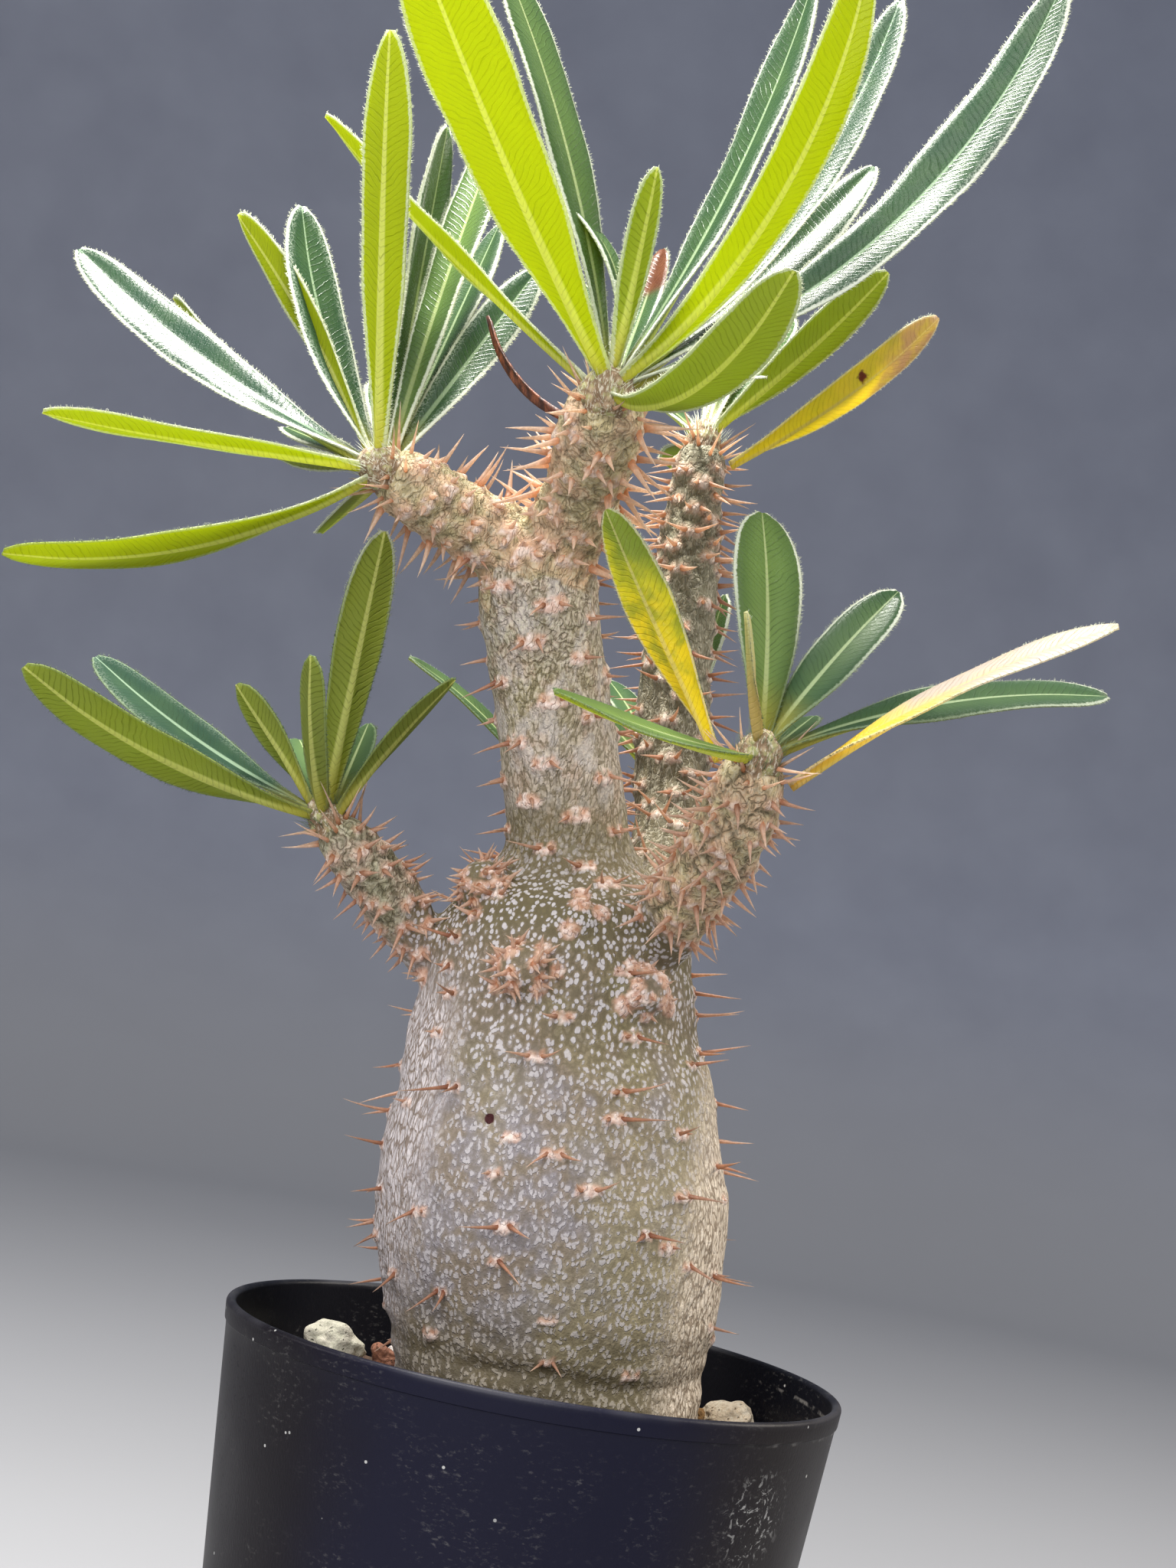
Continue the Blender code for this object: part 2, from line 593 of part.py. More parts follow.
def make_blade(name, leaf, foot, collection):
    """One leaf: an open sheet with a shallow channel along its midrib, made solid."""
    sheet = bmesh.new()
    rows = []
    fewest, most = BLADE_STATIONS
    stations = min(most, max(fewest, round(leaf.length / BLADE_STATION_SPACING) + 1))
    for share, point, side, face in leaf_frames(leaf, foot, stations):
        half = leaf_width(share, leaf.width) / 2
        rows.append([
            sheet.verts.new((point + side * across * half + face * abs(across) * half * BLADE_CHANNEL) * MM)
            for across in (-1, 0, 1)
        ])
    for near, far in zip(rows, rows[1:]):
        for a, b in ((0, 1), (1, 2)):
            sheet.faces.new((near[a], near[b], far[b]))
            sheet.faces.new((near[a], far[b], far[a]))
    blade = bmesh_object(name, sheet, collection)
    solidify = blade.modifiers.new("Thickness", "SOLIDIFY")
    solidify.thickness = BLADE_THICKNESS * MM
    solidify.offset = 0
    mesh = evaluated_mesh(blade)
    blade.modifiers.clear()
    blade.data = mesh
    return blade


def leaf_foot(leaf, seat, way, radius):
    """Where a leaf starts inside its growing point: higher the more it grows in line with the branch."""
    grows = direction(leaf.azimuth, leaf.rise)
    in_line = max(0.0, grows.dot(way))
    out = grows - way * grows.dot(way)
    out = out.normalized() if out.length > 0.05 else Vector((0, 0, 0))
    return seat + way * (FOOT_LOWEST + FOOT_LIFT * in_line) + out * radius * FOOT_OUT * (1 - 0.6 * in_line)


def make_head(name, route, leaves, parts, joined):
    """The leafy tip of a branch: a short green growing point that its leaves stand out of."""
    tip, way, radius = tip_of(route)
    seat = tip + way * GAP
    core_route = [(*(seat + way * rise), radius * share) for rise, share in CORE_PROFILE]
    core = tube(name, core_route, CORE_SIDES, parts)
    for leaf in leaves:
        make_blade("blade", leaf, leaf_foot(leaf, seat, way, radius), joined)
    return finished(boolean(core, "UNION", joined), "leaf_green")


def make_old_leaf(name, old, slot, parts):
    return finished(make_blade(name, old.leaf, old_leaf_foot(old), parts), slot)


def main():
    clear_scene()
    parts = new_collection("potted_pachypodium")
    cutters = new_collection("cutters")
    joined = new_collection("joined")
    make_pot(parts, cutters)
    make_soil(parts, cutters)
    make_stones(parts)
    make_trunk(parts, joined)
    make_head("leaves_top_left", BRANCH_TOP_LEFT, LEAVES_TOP_LEFT, parts, joined)
    make_head("leaves_top_centre", BRANCH_TOP_CENTRE, LEAVES_TOP_CENTRE, parts, joined)
    make_head("leaves_back", BRANCH_BACK, LEAVES_BACK, parts, joined)
    make_head("leaves_low_left", BRANCH_LOW_LEFT, LEAVES_LOW_LEFT, parts, joined)
    make_head("leaves_low_right", BRANCH_LOW_RIGHT, LEAVES_LOW_RIGHT, parts, joined)
    make_head("leaves_behind", SHOOT_BEHIND, LEAVES_BEHIND, parts, joined)
    make_head("leaves_right", SHOOT_RIGHT, LEAVES_RIGHT, parts, joined)
    make_old_leaf("yellow_leaf_back", YELLOW_BACK, "leaf_yellow", parts)
    make_old_leaf("yellow_leaf_low_left", YELLOW_LOW_LEFT, "leaf_yellow", parts)
    make_old_leaf("yellow_leaf_low_right", YELLOW_LOW_RIGHT, "leaf_yellow", parts)
    make_old_leaf("dry_leaf", DRY_TOP, "leaf_dry", parts)


main()
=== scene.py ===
"""The looks of a potted pachypodium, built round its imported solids.

Lengths are in millimetres and MM turns them into Blender's metres. +Z is up, the origin is the centre of
the pot's flat base, and the front is -Y. The pot, routes, leaves and stones repeat the solids' own values.
"""

import json
import math
import random
from collections import namedtuple
from types import SimpleNamespace

import bmesh
import bpy
import numpy as np
from mathutils import Matrix, Vector, noise
from mathutils.bvhtree import BVHTree
from mathutils.kdtree import KDTree

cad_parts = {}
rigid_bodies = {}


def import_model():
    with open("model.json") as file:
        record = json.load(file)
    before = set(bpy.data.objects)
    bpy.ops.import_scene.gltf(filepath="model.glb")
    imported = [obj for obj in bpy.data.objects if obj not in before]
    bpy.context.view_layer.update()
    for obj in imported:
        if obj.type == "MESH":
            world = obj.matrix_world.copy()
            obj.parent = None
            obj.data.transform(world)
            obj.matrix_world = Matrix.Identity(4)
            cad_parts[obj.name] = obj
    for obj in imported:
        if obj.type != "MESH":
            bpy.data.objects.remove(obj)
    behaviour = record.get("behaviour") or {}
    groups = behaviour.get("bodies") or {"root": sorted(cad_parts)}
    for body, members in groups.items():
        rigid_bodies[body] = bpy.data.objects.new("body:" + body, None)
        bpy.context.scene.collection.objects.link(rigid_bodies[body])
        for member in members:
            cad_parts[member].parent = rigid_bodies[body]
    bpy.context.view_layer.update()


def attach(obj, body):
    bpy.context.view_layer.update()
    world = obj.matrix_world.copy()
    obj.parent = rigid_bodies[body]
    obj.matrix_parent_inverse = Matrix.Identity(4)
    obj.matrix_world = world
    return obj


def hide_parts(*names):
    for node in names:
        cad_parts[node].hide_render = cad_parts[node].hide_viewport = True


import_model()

MM = 0.001
SEED = 5

# The camera, fitted to the photograph's 1536 x 2048 frame through the pot's rim
PHOTO_HEIGHT = 2048
FOCAL_PIXELS = 3078
SENSOR = 36.0
CAMERA_AT = (-6.97, -347.65, 145.10)
CAMERA_RISE = math.radians(5.2)
CAMERA_ROLL = math.radians(10.3)

PLANT_MIDDLE = (-10, -5, 180)
LIGHTS = {  # azimuth and rise in degrees, distance, size, power and colour
    "key": (170, 74, 380, 90, 4.6, (1.0, 0.97, 0.91)),
    "side": (186, 22, 900, 350, 1.8, (1.0, 0.96, 0.96)),
    "front": (-105, 32, 1000, 800, 12, (1.0, 0.98, 0.97)),
    "rim": (12, 32, 1000, 300, 7, (1.0, 0.92, 0.80)),
}
SKY_COLOUR = (0.80, 0.86, 1.0, 1)
SKY_STRENGTH = 0.55
STAGE_FLOOR, STAGE_BEND, STAGE_WALL = 1100.0, 500.0, 1700.0
STAGE_SEGMENTS = 128
STAGE_UNDER_POT = 0.05

POT_RIM_DIAMETER = 90.0
POT_HEIGHT = 95.0
POT_TAPER = math.radians(5.5)
POT_WALL = 1.4
POT_FLOOR = 1.8
POT_CORNER = 1.2
POT_FOOT_RISE = 1.5
POT_SEGMENTS = 160
LIP_BAND = 3.0
LIP_STEP = 0.25
DRAIN_HOLES = 6
DRAIN_HOLE_RADIUS = 3.5
DRAIN_CIRCLE_RADIUS = 24.0
SHARP_EDGE = math.radians(40)
SCUFF_AT = (32.3, -29.5, 82.0)

SOIL_TOP = 84.0
SOIL_DEPTH = 6.0
SOIL_RINGS, SOIL_SPOKES = 26, 96
GRAIN_PLACES = 620
GRAIN_SIZES = (1.3, 1.7, 2.1, 2.6, 3.3)
# How often a sphere's faces are divided to make a grain or a stone, how uneven it gets, and how finely
GRAIN_FORM = (2, 0.55, 3.2)
STONE_FORM = (5, 0.34, 2.2)
GAP = 0.3
GOLDEN_ANGLE = math.radians(137.5)

# A stone's middle, length, width, height and turn, then its slot and its colours: main, vein and stain
Stone = namedtuple("Stone", "x y long deep high turn slot colours")
STONES = {
    "stone_pumice": Stone(
        -29.6, 20.5, 10.0, 6.4, 7.0, 40, "pale_stone",
        ((0.60, 0.56, 0.46), (0.50, 0.48, 0.38), (0.28, 0.28, 0.20)),
    ),
    "stone_red": Stone(
        -21.6, 23.0, 5.0, 4.2, 3.6, 10, "warm_stone",
        ((0.13, 0.05, 0.03), (0.22, 0.09, 0.05), (0.05, 0.02, 0.012)),
    ),
    "stone_white": Stone(
        -20.5, 29.0, 4.6, 3.8, 2.8, 70, "pale_stone",
        ((0.62, 0.58, 0.55), (0.45, 0.40, 0.38), (0.25, 0.18, 0.15)),
    ),
    "stone_orange": Stone(
        25.8, 18.5, 5.0, 4.2, 3.8, 120, "warm_stone",
        ((0.42, 0.24, 0.08), (0.30, 0.16, 0.05), (0.10, 0.05, 0.02)),
    ),
    "stone_beige": Stone(
        31.2, 22.5, 8.6, 6.0, 5.4, 150, "pale_stone",
        ((0.86, 0.72, 0.52), (0.90, 0.80, 0.62), (0.46, 0.30, 0.15)),
    ),
}
STONE_FLAT = 0.42
STONE_SLOPE = 0.5

# A stem's route is rows of x, y, z and radius.
MAIN_STEM = [
    (4.0, 0, 72, 19.0), (4.0, 0, 76, 20.5), (3.8, 0, 86, 21.6),
    (2.4, 0, 93, 22.4), (1.0, 0, 103, 24.5), (-0.7, 0, 112.5, 25.7), (-2.0, 0, 119, 25.3),
    (-3.5, 0, 130, 23.5), (-4.8, 0, 136, 22.0), (-5.5, 0, 142, 20.7), (-6.2, 0, 149, 19.8),
    (-6.5, 0, 155, 18.4), (-7.0, 0, 160, 15.4), (-7.6, -0.3, 164, 11.4), (-8.4, -0.7, 168, 9.3),
    (-9.4, -1.2, 172, 8.9), (-12.4, -3, 181.5, 8.6), (-15.9, -5, 192, 8.5), (-19.3, -7.5, 203, 8.7),
    (-20.3, -9, 208.5, 7.6), (-20.3, -9.5, 212, 4.2),
]
BRANCH_TOP_LEFT = [
    (-19, -8.5, 205.5, 6.6), (-24, -9.5, 207.8, 6.0), (-31, -12, 210, 5.3), (-37.5, -14.8, 212, 5.2),
    (-41.5, -16.6, 213.4, 4.6),
]
BRANCH_TOP_CENTRE = [
    (-19, -8.5, 206, 6.8), (-17.2, -11, 210.5, 6.2), (-15.3, -17, 216, 5.5), (-14.3, -23.5, 221.5, 6.0),
    (-13.9, -28.5, 226, 5.6),
]
BRANCH_BACK = [
    (5, 7, 156, 6.4), (7.2, 13, 166, 6.0), (6.8, 20, 175, 5.8), (5.1, 24, 187.5, 5.8),
    (3.5, 26, 200, 5.6), (2.9, 27, 213, 5.2), (1.9, 28, 226, 4.6), (1.6, 28, 235, 4.0),
]
BRANCH_LOW_LEFT = [
    (-15, 0, 141, 4.6), (-23, 0, 145.5, 3.8), (-27.8, -3.5, 150.5, 3.9), (-33, -6, 155.5, 4.4),
    (-38, -7.5, 159.8, 4.3), (-41, -8, 162.4, 3.7),
]
BRANCH_LOW_RIGHT = [
    (2, -4, 149, 6.0), (6.5, -11, 156.5, 5.3), (9.8, -19.5, 163, 5.1), (12.8, -27.5, 170, 5.2),
    (14.2, -32.5, 176, 5.0), (14.5, -34.3, 179, 4.5),
]
SHOOT_BEHIND = [(-5, 9, 156, 4.4), (-7.3, 18, 163, 3.9), (-8.2, 23, 168.5, 3.3)]
SHOOT_RIGHT = [(7, 21, 170, 4.4), (6.4, 31, 174.5, 3.8), (5.2, 39, 181.5, 3.3)]
BUDS = [
    [(-15, -6, 154, 5.0), (-19.4, -9.6, 159.6, 3.6), (-20.8, -10.8, 161.6, 1.8)],
    [(-9, -12, 146.5, 4.6), (-11.6, -19.8, 148.2, 3.6), (-12.0, -21.6, 148.6, 2.0)],
    [(-5, -10, 153.5, 4.2), (-4.8, -16.9, 156.2, 3.2), (-4.8, -18.4, 157.0, 1.6)],
    [(3, -12, 146.5, 4.2), (6.6, -17.0, 148.4, 3.2), (7.4, -18.3, 148.8, 1.6)],
]
STEMS = [
    MAIN_STEM, BRANCH_TOP_LEFT, BRANCH_TOP_CENTRE, BRANCH_BACK, BRANCH_LOW_LEFT,
    BRANCH_LOW_RIGHT, SHOOT_BEHIND, SHOOT_RIGHT, *BUDS,
]
# Under its leaves a stem ends in these rows: how far past its tip, and the share of the tip's radius.
STEM_CAP = ((0.8, 0.9), (1.7, 0.7))

# Part of a stem: the spacing of its cushions, the shares of its length they cover, how high and wide they
# are, the shortest and longest spines, the share of the spines that are broken off, and how fresh they are.
Zone = namedtuple("Zone", "route spacing low high swell size spine broken fresh")
ZONES = [
    Zone(MAIN_STEM, 10.0, 0.13, 0.22, 0.3, 1.0, (3.0, 5.5), 0.65, 0.0),
    Zone(MAIN_STEM, 9.2, 0.22, 0.56, 0.35, 1.1, (5.0, 8.5), 0.4, 0.05),
    Zone(MAIN_STEM, 7.4, 0.60, 0.97, 0.45, 1.5, (3.2, 7.0), 0.1, 0.15),
    Zone(BRANCH_TOP_LEFT, 4.3, 0.1, 0.98, 0.42, 1.3, (5.5, 8.5), 0.0, 0.75),
    Zone(BRANCH_TOP_CENTRE, 4.3, 0.1, 0.98, 0.38, 1.3, (6.5, 9.5), 0.0, 0.95),
    Zone(BRANCH_LOW_LEFT, 3.5, 0.32, 0.98, 0.45, 1.0, (3.2, 5.5), 0.0, 0.3),
    Zone(BRANCH_LOW_RIGHT, 3.8, 0.32, 0.98, 0.42, 1.15, (3.2, 5.5), 0.0, 0.4),
    Zone(BRANCH_BACK, 5.4, 0.12, 0.75, 0.5, 1.3, (4.5, 7.0), 0.05, 0.1),
    Zone(BRANCH_BACK, 3.8, 0.75, 0.99, 0.5, 1.2, (4.5, 7.5), 0.0, 0.35),
    Zone(SHOOT_BEHIND, 3.8, 0.3, 0.97, 0.5, 1.2, (3.5, 5.0), 0.0, 0.3),
    Zone(SHOOT_RIGHT, 3.8, 0.25, 0.97, 0.5, 1.2, (3.5, 5.0), 0.0, 0.3),
    *(Zone(bud, 2.0, 0.45, 1.0, 0.5, 0.8, (2.0, 4.0), 0.0, 0.45) for bud in BUDS[:2]),
    *(Zone(bud, 2.2, 0.45, 1.0, 0.5, 0.9, (1.0, 2.4), 0.2, 0.35) for bud in BUDS[2:]),
]

BARK_VOXEL = 0.62
BARK_SMOOTHING = 8
STEM_STEP = 1.0
STEM_ROUND = 14
SPINE_RADIUS = 0.36
SPINE_PROFILE = ((0.0, 1.6), (0.12, 1.05), (0.3, 0.8), (0.55, 0.54), (0.8, 0.28), (1.0, 0.03))
SPINE_SIDES = 6
SPINE_SUNK = 0.6
SPINE_APART = 0.75
SPINE_LEAN = (18, 50)
SPINE_CLEAR_OF_LEAF = 3.0
WORN_SPINE = 0.35
PIT_AIM = (-12.2, -22.0, 127.0)
PIT_RADIUS = 0.66
PIT_DEPTH = 0.9

# Where one kind of bark gives way to the next, and where painted shade and light on it start and end: the
# height at which its mask is 0, and where it is 1
LOW_BARK = (109.0, 97.0)
BANDED_BARK = (108.0, 94.0)
SHOULDER_BARK = (133.0, 148.0)
# FLANK_BARK: below it the sides are pale, partly as painted rim light
FLANK_BARK = (150.0, 138.0)
NECK_FOOT, NECK_TOP = (153.0, 160.0), (181.0, 171.0)
# BRIGHT_BARK: above it all branch bark is painted as sunlit
BRIGHT_BARK = (180.0, 195.0)
# UPPER_BARK: where the painted shade on the branches fades
UPPER_BARK = (186.0, 204.0)
YOUNG_BARK = (158, 172)
FOLDED_BARK = (176, 196)
RINGED_BARK = (108, 92)
# The leaves' margins and hairs are dull below the first height, and pale and glossy above the second.
SUNLIT_LEAVES = (186.0, 208.0)

# A leaf's azimuth and rise in degrees, length, width, then how much its rise and roll change along it.
# Tone runs from 0, dark green, to 1, bright yellow green. Dry is the share of its length, from the tip,
# that has dried, and faded is how far the whole leaf has gone tan.
Leaf = namedtuple("Leaf", "azimuth rise length width bend roll tone dry faded", defaults=(0.4, 0.0, 0.0))
HEADS = {
    "leaves_top_left": (BRANCH_TOP_LEFT, [
        Leaf(161, 20, 61, 9.0, 17, -50, 0.1), Leaf(141, 19, 58, 6.0, 22, 40, 0.45),
        Leaf(145, 50, 53, 7.0, -10, 60, 0.95), Leaf(141, 47, 48, 8.5, 24, -20, 0.1),
        Leaf(-110, 66, 58, 7.5, 6, 0, 0.9), Leaf(-165, -6, 45, 7.5, 5, 10, 0.9),
        Leaf(-154, -42, 55, 7.5, 38, 30, 0.9), Leaf(115, -14, 24, 6.0, 0, -40, 0.4),
        Leaf(150, 2, 17, 5.5, 0, 20, 0.4), Leaf(128, 16, 30, 6.0, 0, -20, 0.3),
        Leaf(98, 68, 60, 8.0, 8, 50, 0.3), Leaf(78, 73, 72, 7.5, -12, -15, 0.6),
        Leaf(80, 54, 60, 8.0, 0, -30, 0.25), Leaf(46, 60, 42, 7.0, 0, 40, 0.2),
        Leaf(100, 36, 44, 8.0, -18, 0, 0.5),
    ]),
    "leaves_top_centre": (BRANCH_TOP_CENTRE, [
        Leaf(-129, 35, 67, 12.0, 8, 20, 1.0), Leaf(160, 72, 68, 9.0, -16, -25, 0.5),
        Leaf(152, 33, 68, 7.5, 8, 25, 1.0), Leaf(150, 88, 38, 6.0, -95, 0, 0.5),
        Leaf(-85, 68, 28, 5.0, 0, 30, 0.6), Leaf(80, 48, 33, 6.0, 18, -30, 0.3, 0.3),
        Leaf(15, 67, 67, 8.5, 17, 25, 0.2), Leaf(-51, 28, 68, 8.5, 68, -5, 1.0),
        Leaf(32, 49, 80, 8.5, 32, 25, 0.1), Leaf(37, 44, 61, 8.5, 14, 30, 0.15),
        Leaf(5, 34, 90, 10.0, 46, 55, 0.1), Leaf(-64, -18, 48, 9.0, 72, -10, 0.6),
        Leaf(108, 40, 52, 8.0, -16, 0, 0.4), Leaf(60, 26, 44, 8.0, -14, 10, 0.3),
    ]),
    "leaves_back": (BRANCH_BACK, [
        Leaf(-18, 46, 38, 8.0, 10, -35, 0.55), Leaf(78, 54, 24, 6.0, 0, -20, 0.1, 0.3),
        Leaf(118, 28, 40, 7.0, -14, 0, 0.4), Leaf(66, 50, 40, 8.0, -10, 0, 0.5),
        Leaf(96, 10, 38, 7.0, -10, 0, 0.3),
    ]),
    "leaves_low_left": (BRANCH_LOW_LEFT, [
        Leaf(-154, 3, 47, 7.5, 28, 50, 0.45), Leaf(158, 17, 46, 7.5, 15, -40, 0.0),
        Leaf(168, 45, 22, 5.5, 0, 55, 0.5), Leaf(-102, 36, 27, 6.0, 32, -30, 0.35),
        Leaf(-78, 88, 41, 7.5, -20, 15, 0.5), Leaf(82, 50, 20, 5.5, 0, -20, 0.3),
        Leaf(-38, 55, 28, 5.5, -13, 15, 0.4), Leaf(108, 26, 34, 7.0, -10, 0, 0.4),
    ]),
    "leaves_low_right": (BRANCH_LOW_RIGHT, [
        Leaf(110, 77, 36, 10.0, -23, -5, 0.7), Leaf(-112, 46, 20, 4.0, 0, -70, 0.9, 0, 0.9),
        Leaf(31, 59, 31, 8.0, -10, 35, 0.25), Leaf(18, 30, 53, 8.0, -24, 35, 0.2),
        Leaf(64, 28, 19, 5.0, 0, -10, 0.3), Leaf(-122, -5, 50, 6.0, 8, -25, 0.85),
        Leaf(78, 18, 30, 7.0, -14, 0, 0.3),
    ]),
    "leaves_behind": (SHOOT_BEHIND, [
        Leaf(-173, 48, 37, 6.0, -30, -25, 0.4), Leaf(122, 44, 30, 7.0, -14, 0, 0.3),
        Leaf(84, 30, 26, 6.0, -10, 0, 0.5),
    ]),
    "leaves_right": (SHOOT_RIGHT, [
        Leaf(-168, 36, 20, 6.0, 0, -40, 0.4), Leaf(66, 64, 36, 7.0, 10, -25, 0.5),
        Leaf(112, 36, 34, 7.0, -14, 0, 0.3),
    ]),
}

# How a leaf yellows: its material's name, its colours at the foot, in the middle and at the tip, where the
# first change between them starts and ends, the same for the second, the colour and the strength of its
# mottle, and where along and across it a brown spot is
Fading = namedtuple("Fading", "look foot middle tip first second mottle mottled spot", defaults=(None,))
# Old leaves stand on the branch just under its leafy tip: how far under, the leaf, and how it has faded.
Old = namedtuple("Old", "route below leaf fading", defaults=(None,))
OLD_LEAVES = {
    "yellow_leaf_back": Old(BRANCH_BACK, 0.6, Leaf(-9, 37, 41, 7.5, 20, -35), Fading(
        "yellow_leaf_brown_tip", (1.0, 0.86, 0.02), (1.0, 0.83, 0.08), (0.55, 0.38, 0.22),
        (14, 26), (25, 36), (0.80, 0.76, 0.03), 0.4, (25.5, -1.2),
    )),
    "yellow_leaf_low_left": Old(BRANCH_LOW_RIGHT, 0.6, Leaf(174, 54, 38, 7.5, 4, 60), Fading(
        "yellow_leaf_mottled", (0.92, 0.75, 0.015), (0.74, 0.70, 0.02), (0.27, 0.36, 0.04),
        (18, 28), (25, 36), (0.26, 0.34, 0.03), 0.65,
    )),
    "yellow_leaf_low_right": Old(BRANCH_LOW_RIGHT, 0.6, Leaf(-21, 41, 48, 7.5, -19, 35), Fading(
        "yellow_leaf_cream", (0.80, 0.50, 0.05), (0.98, 0.76, 0.09), (0.66, 0.57, 0.49),
        (0, 8), (14, 25), (0.92, 0.76, 0.32), 0.25,
    )),
    "dry_leaf": Old(BRANCH_TOP_CENTRE, 5.5, Leaf(146, 22, 23, 3.2, 50, 30)),
}
OLD_LEAF_SLANT = 1.6

BLADE_STATION_SPACING = 10.0
BLADE_STATIONS = (5, 8)
BLADE_THICKNESS = 0.7
WIDEST_AT = 0.66
FOOT_WIDTH = 0.24
TIP_WIDTH = 0.16
ROLLED_AT = 0.35
FOOT_LOWEST = 1.4
FOOT_LIFT = 3.6
FOOT_OUT = 0.35
CORE_PROFILE = ((0, 0.74), (2.5, 0.7), (4.6, 0.5), (6.0, 0.2))
CORE_STEP = 0.35
CORE_SIDES = 28
CORE_RIDGES = 5
LEAF_STEP = 1.5
LEAF_ACROSS = 12
LEAF_THICKNESS = 0.5
LEAF_CHANNEL = 0.176
LEAF_CURL = 0.1
LEAF_WAVE = 0.06
GROOVE_DEPTH, GROOVE_WIDTH = 0.2, 0.4
RIB_DEPTH, RIB_WIDTH = 0.75, 0.6
VEIN_SLOPE, VEIN_SPACING = 0.8, 0.95
HAIR_SPACING = 0.16
HAIR_LENGTH = (0.25, 0.62)
HAIR_RADIUS = 0.042
CROWN_HAIRS = 140
CROWN_HAIR_LENGTH = (1.5, 4.0)
CROWN_HAIR_RADIUS = 0.06
CROWN_SPINES = 14
CROWN_SPINE = (4.5, 8.0)
CROWN_SPINE_RADIUS = 0.3


class Shape:
    """Points, faces and values at the points, gathered for one piece."""

    def __init__(self):
        self.points, self.faces, self.slots, self.values, self.count = [], [], [], {}, 0

    def add(self, points, faces, slots=0, **values):
        """Faces count from the first of these points. A slot or a value is one number, or one for each."""
        points = np.asarray(points, float).reshape(-1, 3)
        self.faces += [[self.count + i for i in face] for face in faces]
        self.slots.append(np.broadcast_to(slots, len(faces)))
        for name, value in values.items():
            self.values.setdefault(name, []).append(np.broadcast_to(value, len(points)))
        self.points.append(points)
        self.count += len(points)

    def piece(self, name, materials, slot, node):
        mesh = bpy.data.meshes.new(name)
        mesh.from_pydata(np.concatenate(self.points) * MM, [], self.faces)
        for look in materials:
            mesh.materials.append(look)
        mesh.polygons.foreach_set("material_index", np.concatenate(self.slots).astype(np.int32))
        for value, parts in self.values.items():
            write_values(mesh, value, np.concatenate(parts))
        mesh.shade_smooth()
        place(linked(name, mesh), slot, node)


def write_values(mesh, name, values):
    attribute = mesh.attributes.new(name, "FLOAT", "POINT")
    attribute.data.foreach_set("value", np.asarray(values, np.float32))


def linked(name, data):
    """A new object in the scene."""
    obj = bpy.data.objects.new(name, data)
    bpy.context.scene.collection.objects.link(obj)
    return obj


def place(obj, slot, node):
    """Makes this a piece of the plant and its pot, which stands for the solid."""
    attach(obj, "root")
    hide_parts(node)


def evaluated_mesh(obj):
    graph = bpy.context.evaluated_depsgraph_get()
    return bpy.data.meshes.new_from_object(obj.evaluated_get(graph))


def apply_modifiers(obj):
    mesh = evaluated_mesh(obj)
    obj.modifiers.clear()
    obj.data = mesh


def smooth_step(value, low, high):
    share = np.clip((value - low) / (high - low), 0, 1)
    return share * share * (3 - 2 * share)


def smoothed(rows, step):
    """Rows about step apart on a smooth curve through the given ones, whose first three columns are a place.

    Returns the share of the length at each new row, and the rows.
    """
    rows = np.array(rows, float)
    at = np.concatenate([[0], np.cumsum(np.linalg.norm(np.diff(rows[:, :3], axis=0), axis=1))])
    spans = np.diff(at)[:, None]
    straight = np.diff(rows, axis=0) / spans
    inner = (rows[2:] - rows[:-2]) / (at[2:] - at[:-2])[:, None]
    slopes = np.concatenate([straight[:1], inner, straight[-1:]])
    fine = np.linspace(0, at[-1], max(2, round(at[-1] / step) + 1))
    i = np.clip(np.searchsorted(at, fine, side="right") - 1, 0, len(at) - 2)
    t = ((fine - at[i]) / spans[i, 0])[:, None]
    span = spans[i]
    made = (
        (2 * t**3 - 3 * t**2 + 1) * rows[i] + (t**3 - 2 * t**2 + t) * span * slopes[i]
        + (3 * t**2 - 2 * t**3) * rows[i + 1] + (t**3 - t**2) * span * slopes[i + 1]
    )
    return fine / at[-1], made


def unit(vectors):
    return vectors / np.linalg.norm(vectors, axis=-1, keepdims=True)


def direction(azimuth, rise):
    azimuth, rise = math.radians(azimuth), math.radians(rise)
    return Vector((math.cos(rise) * math.cos(azimuth), math.cos(rise) * math.sin(azimuth), math.sin(rise)))


def turned_about(way, side, turn):
    """The unit vector side, turned about way, which is at right angles to it."""
    return side * math.cos(turn) + way.cross(side) * math.sin(turn)


def side_of(way):
    return way.orthogonal().normalized()


def all_round(way, count):
    """Unit vectors at right angles to way, evenly spread round it."""
    return [turned_about(way, side_of(way), math.tau * k / count) for k in range(count)]


def loft_faces(rows, sides):
    """Quads between rings of points, and a cap on each end."""
    faces = [
        (r * sides + k, r * sides + (k + 1) % sides, (r + 1) * sides + (k + 1) % sides, (r + 1) * sides + k)
        for r in range(rows - 1) for k in range(sides)
    ]
    last = (rows - 1) * sides
    return faces + [tuple(range(sides))[::-1], tuple(range(last, last + sides))]


def add_hairs(shape, feet, tips, radius):
    """A thin three-sided spike from each foot to its tip."""
    along = unit(tips - feet)
    across = unit(np.cross(along, np.roll(along, 1, axis=1) + 0.01))
    third = np.cross(along, across)
    corners = [
        feet + radius * (across * math.cos(turn) + third * math.sin(turn))
        for turn in (0, math.tau / 3, 2 * math.tau / 3)
    ]
    faces = [
        tuple(4 * i + k for k in corner)
        for i in range(len(feet)) for corner in ((0, 1, 3), (1, 2, 3), (2, 0, 3), (2, 1, 0))
    ]
    shape.add(np.stack([*corners, tips], axis=1), faces)


def rgba(colour):
    return (*colour, 1.0) if isinstance(colour, tuple) else colour


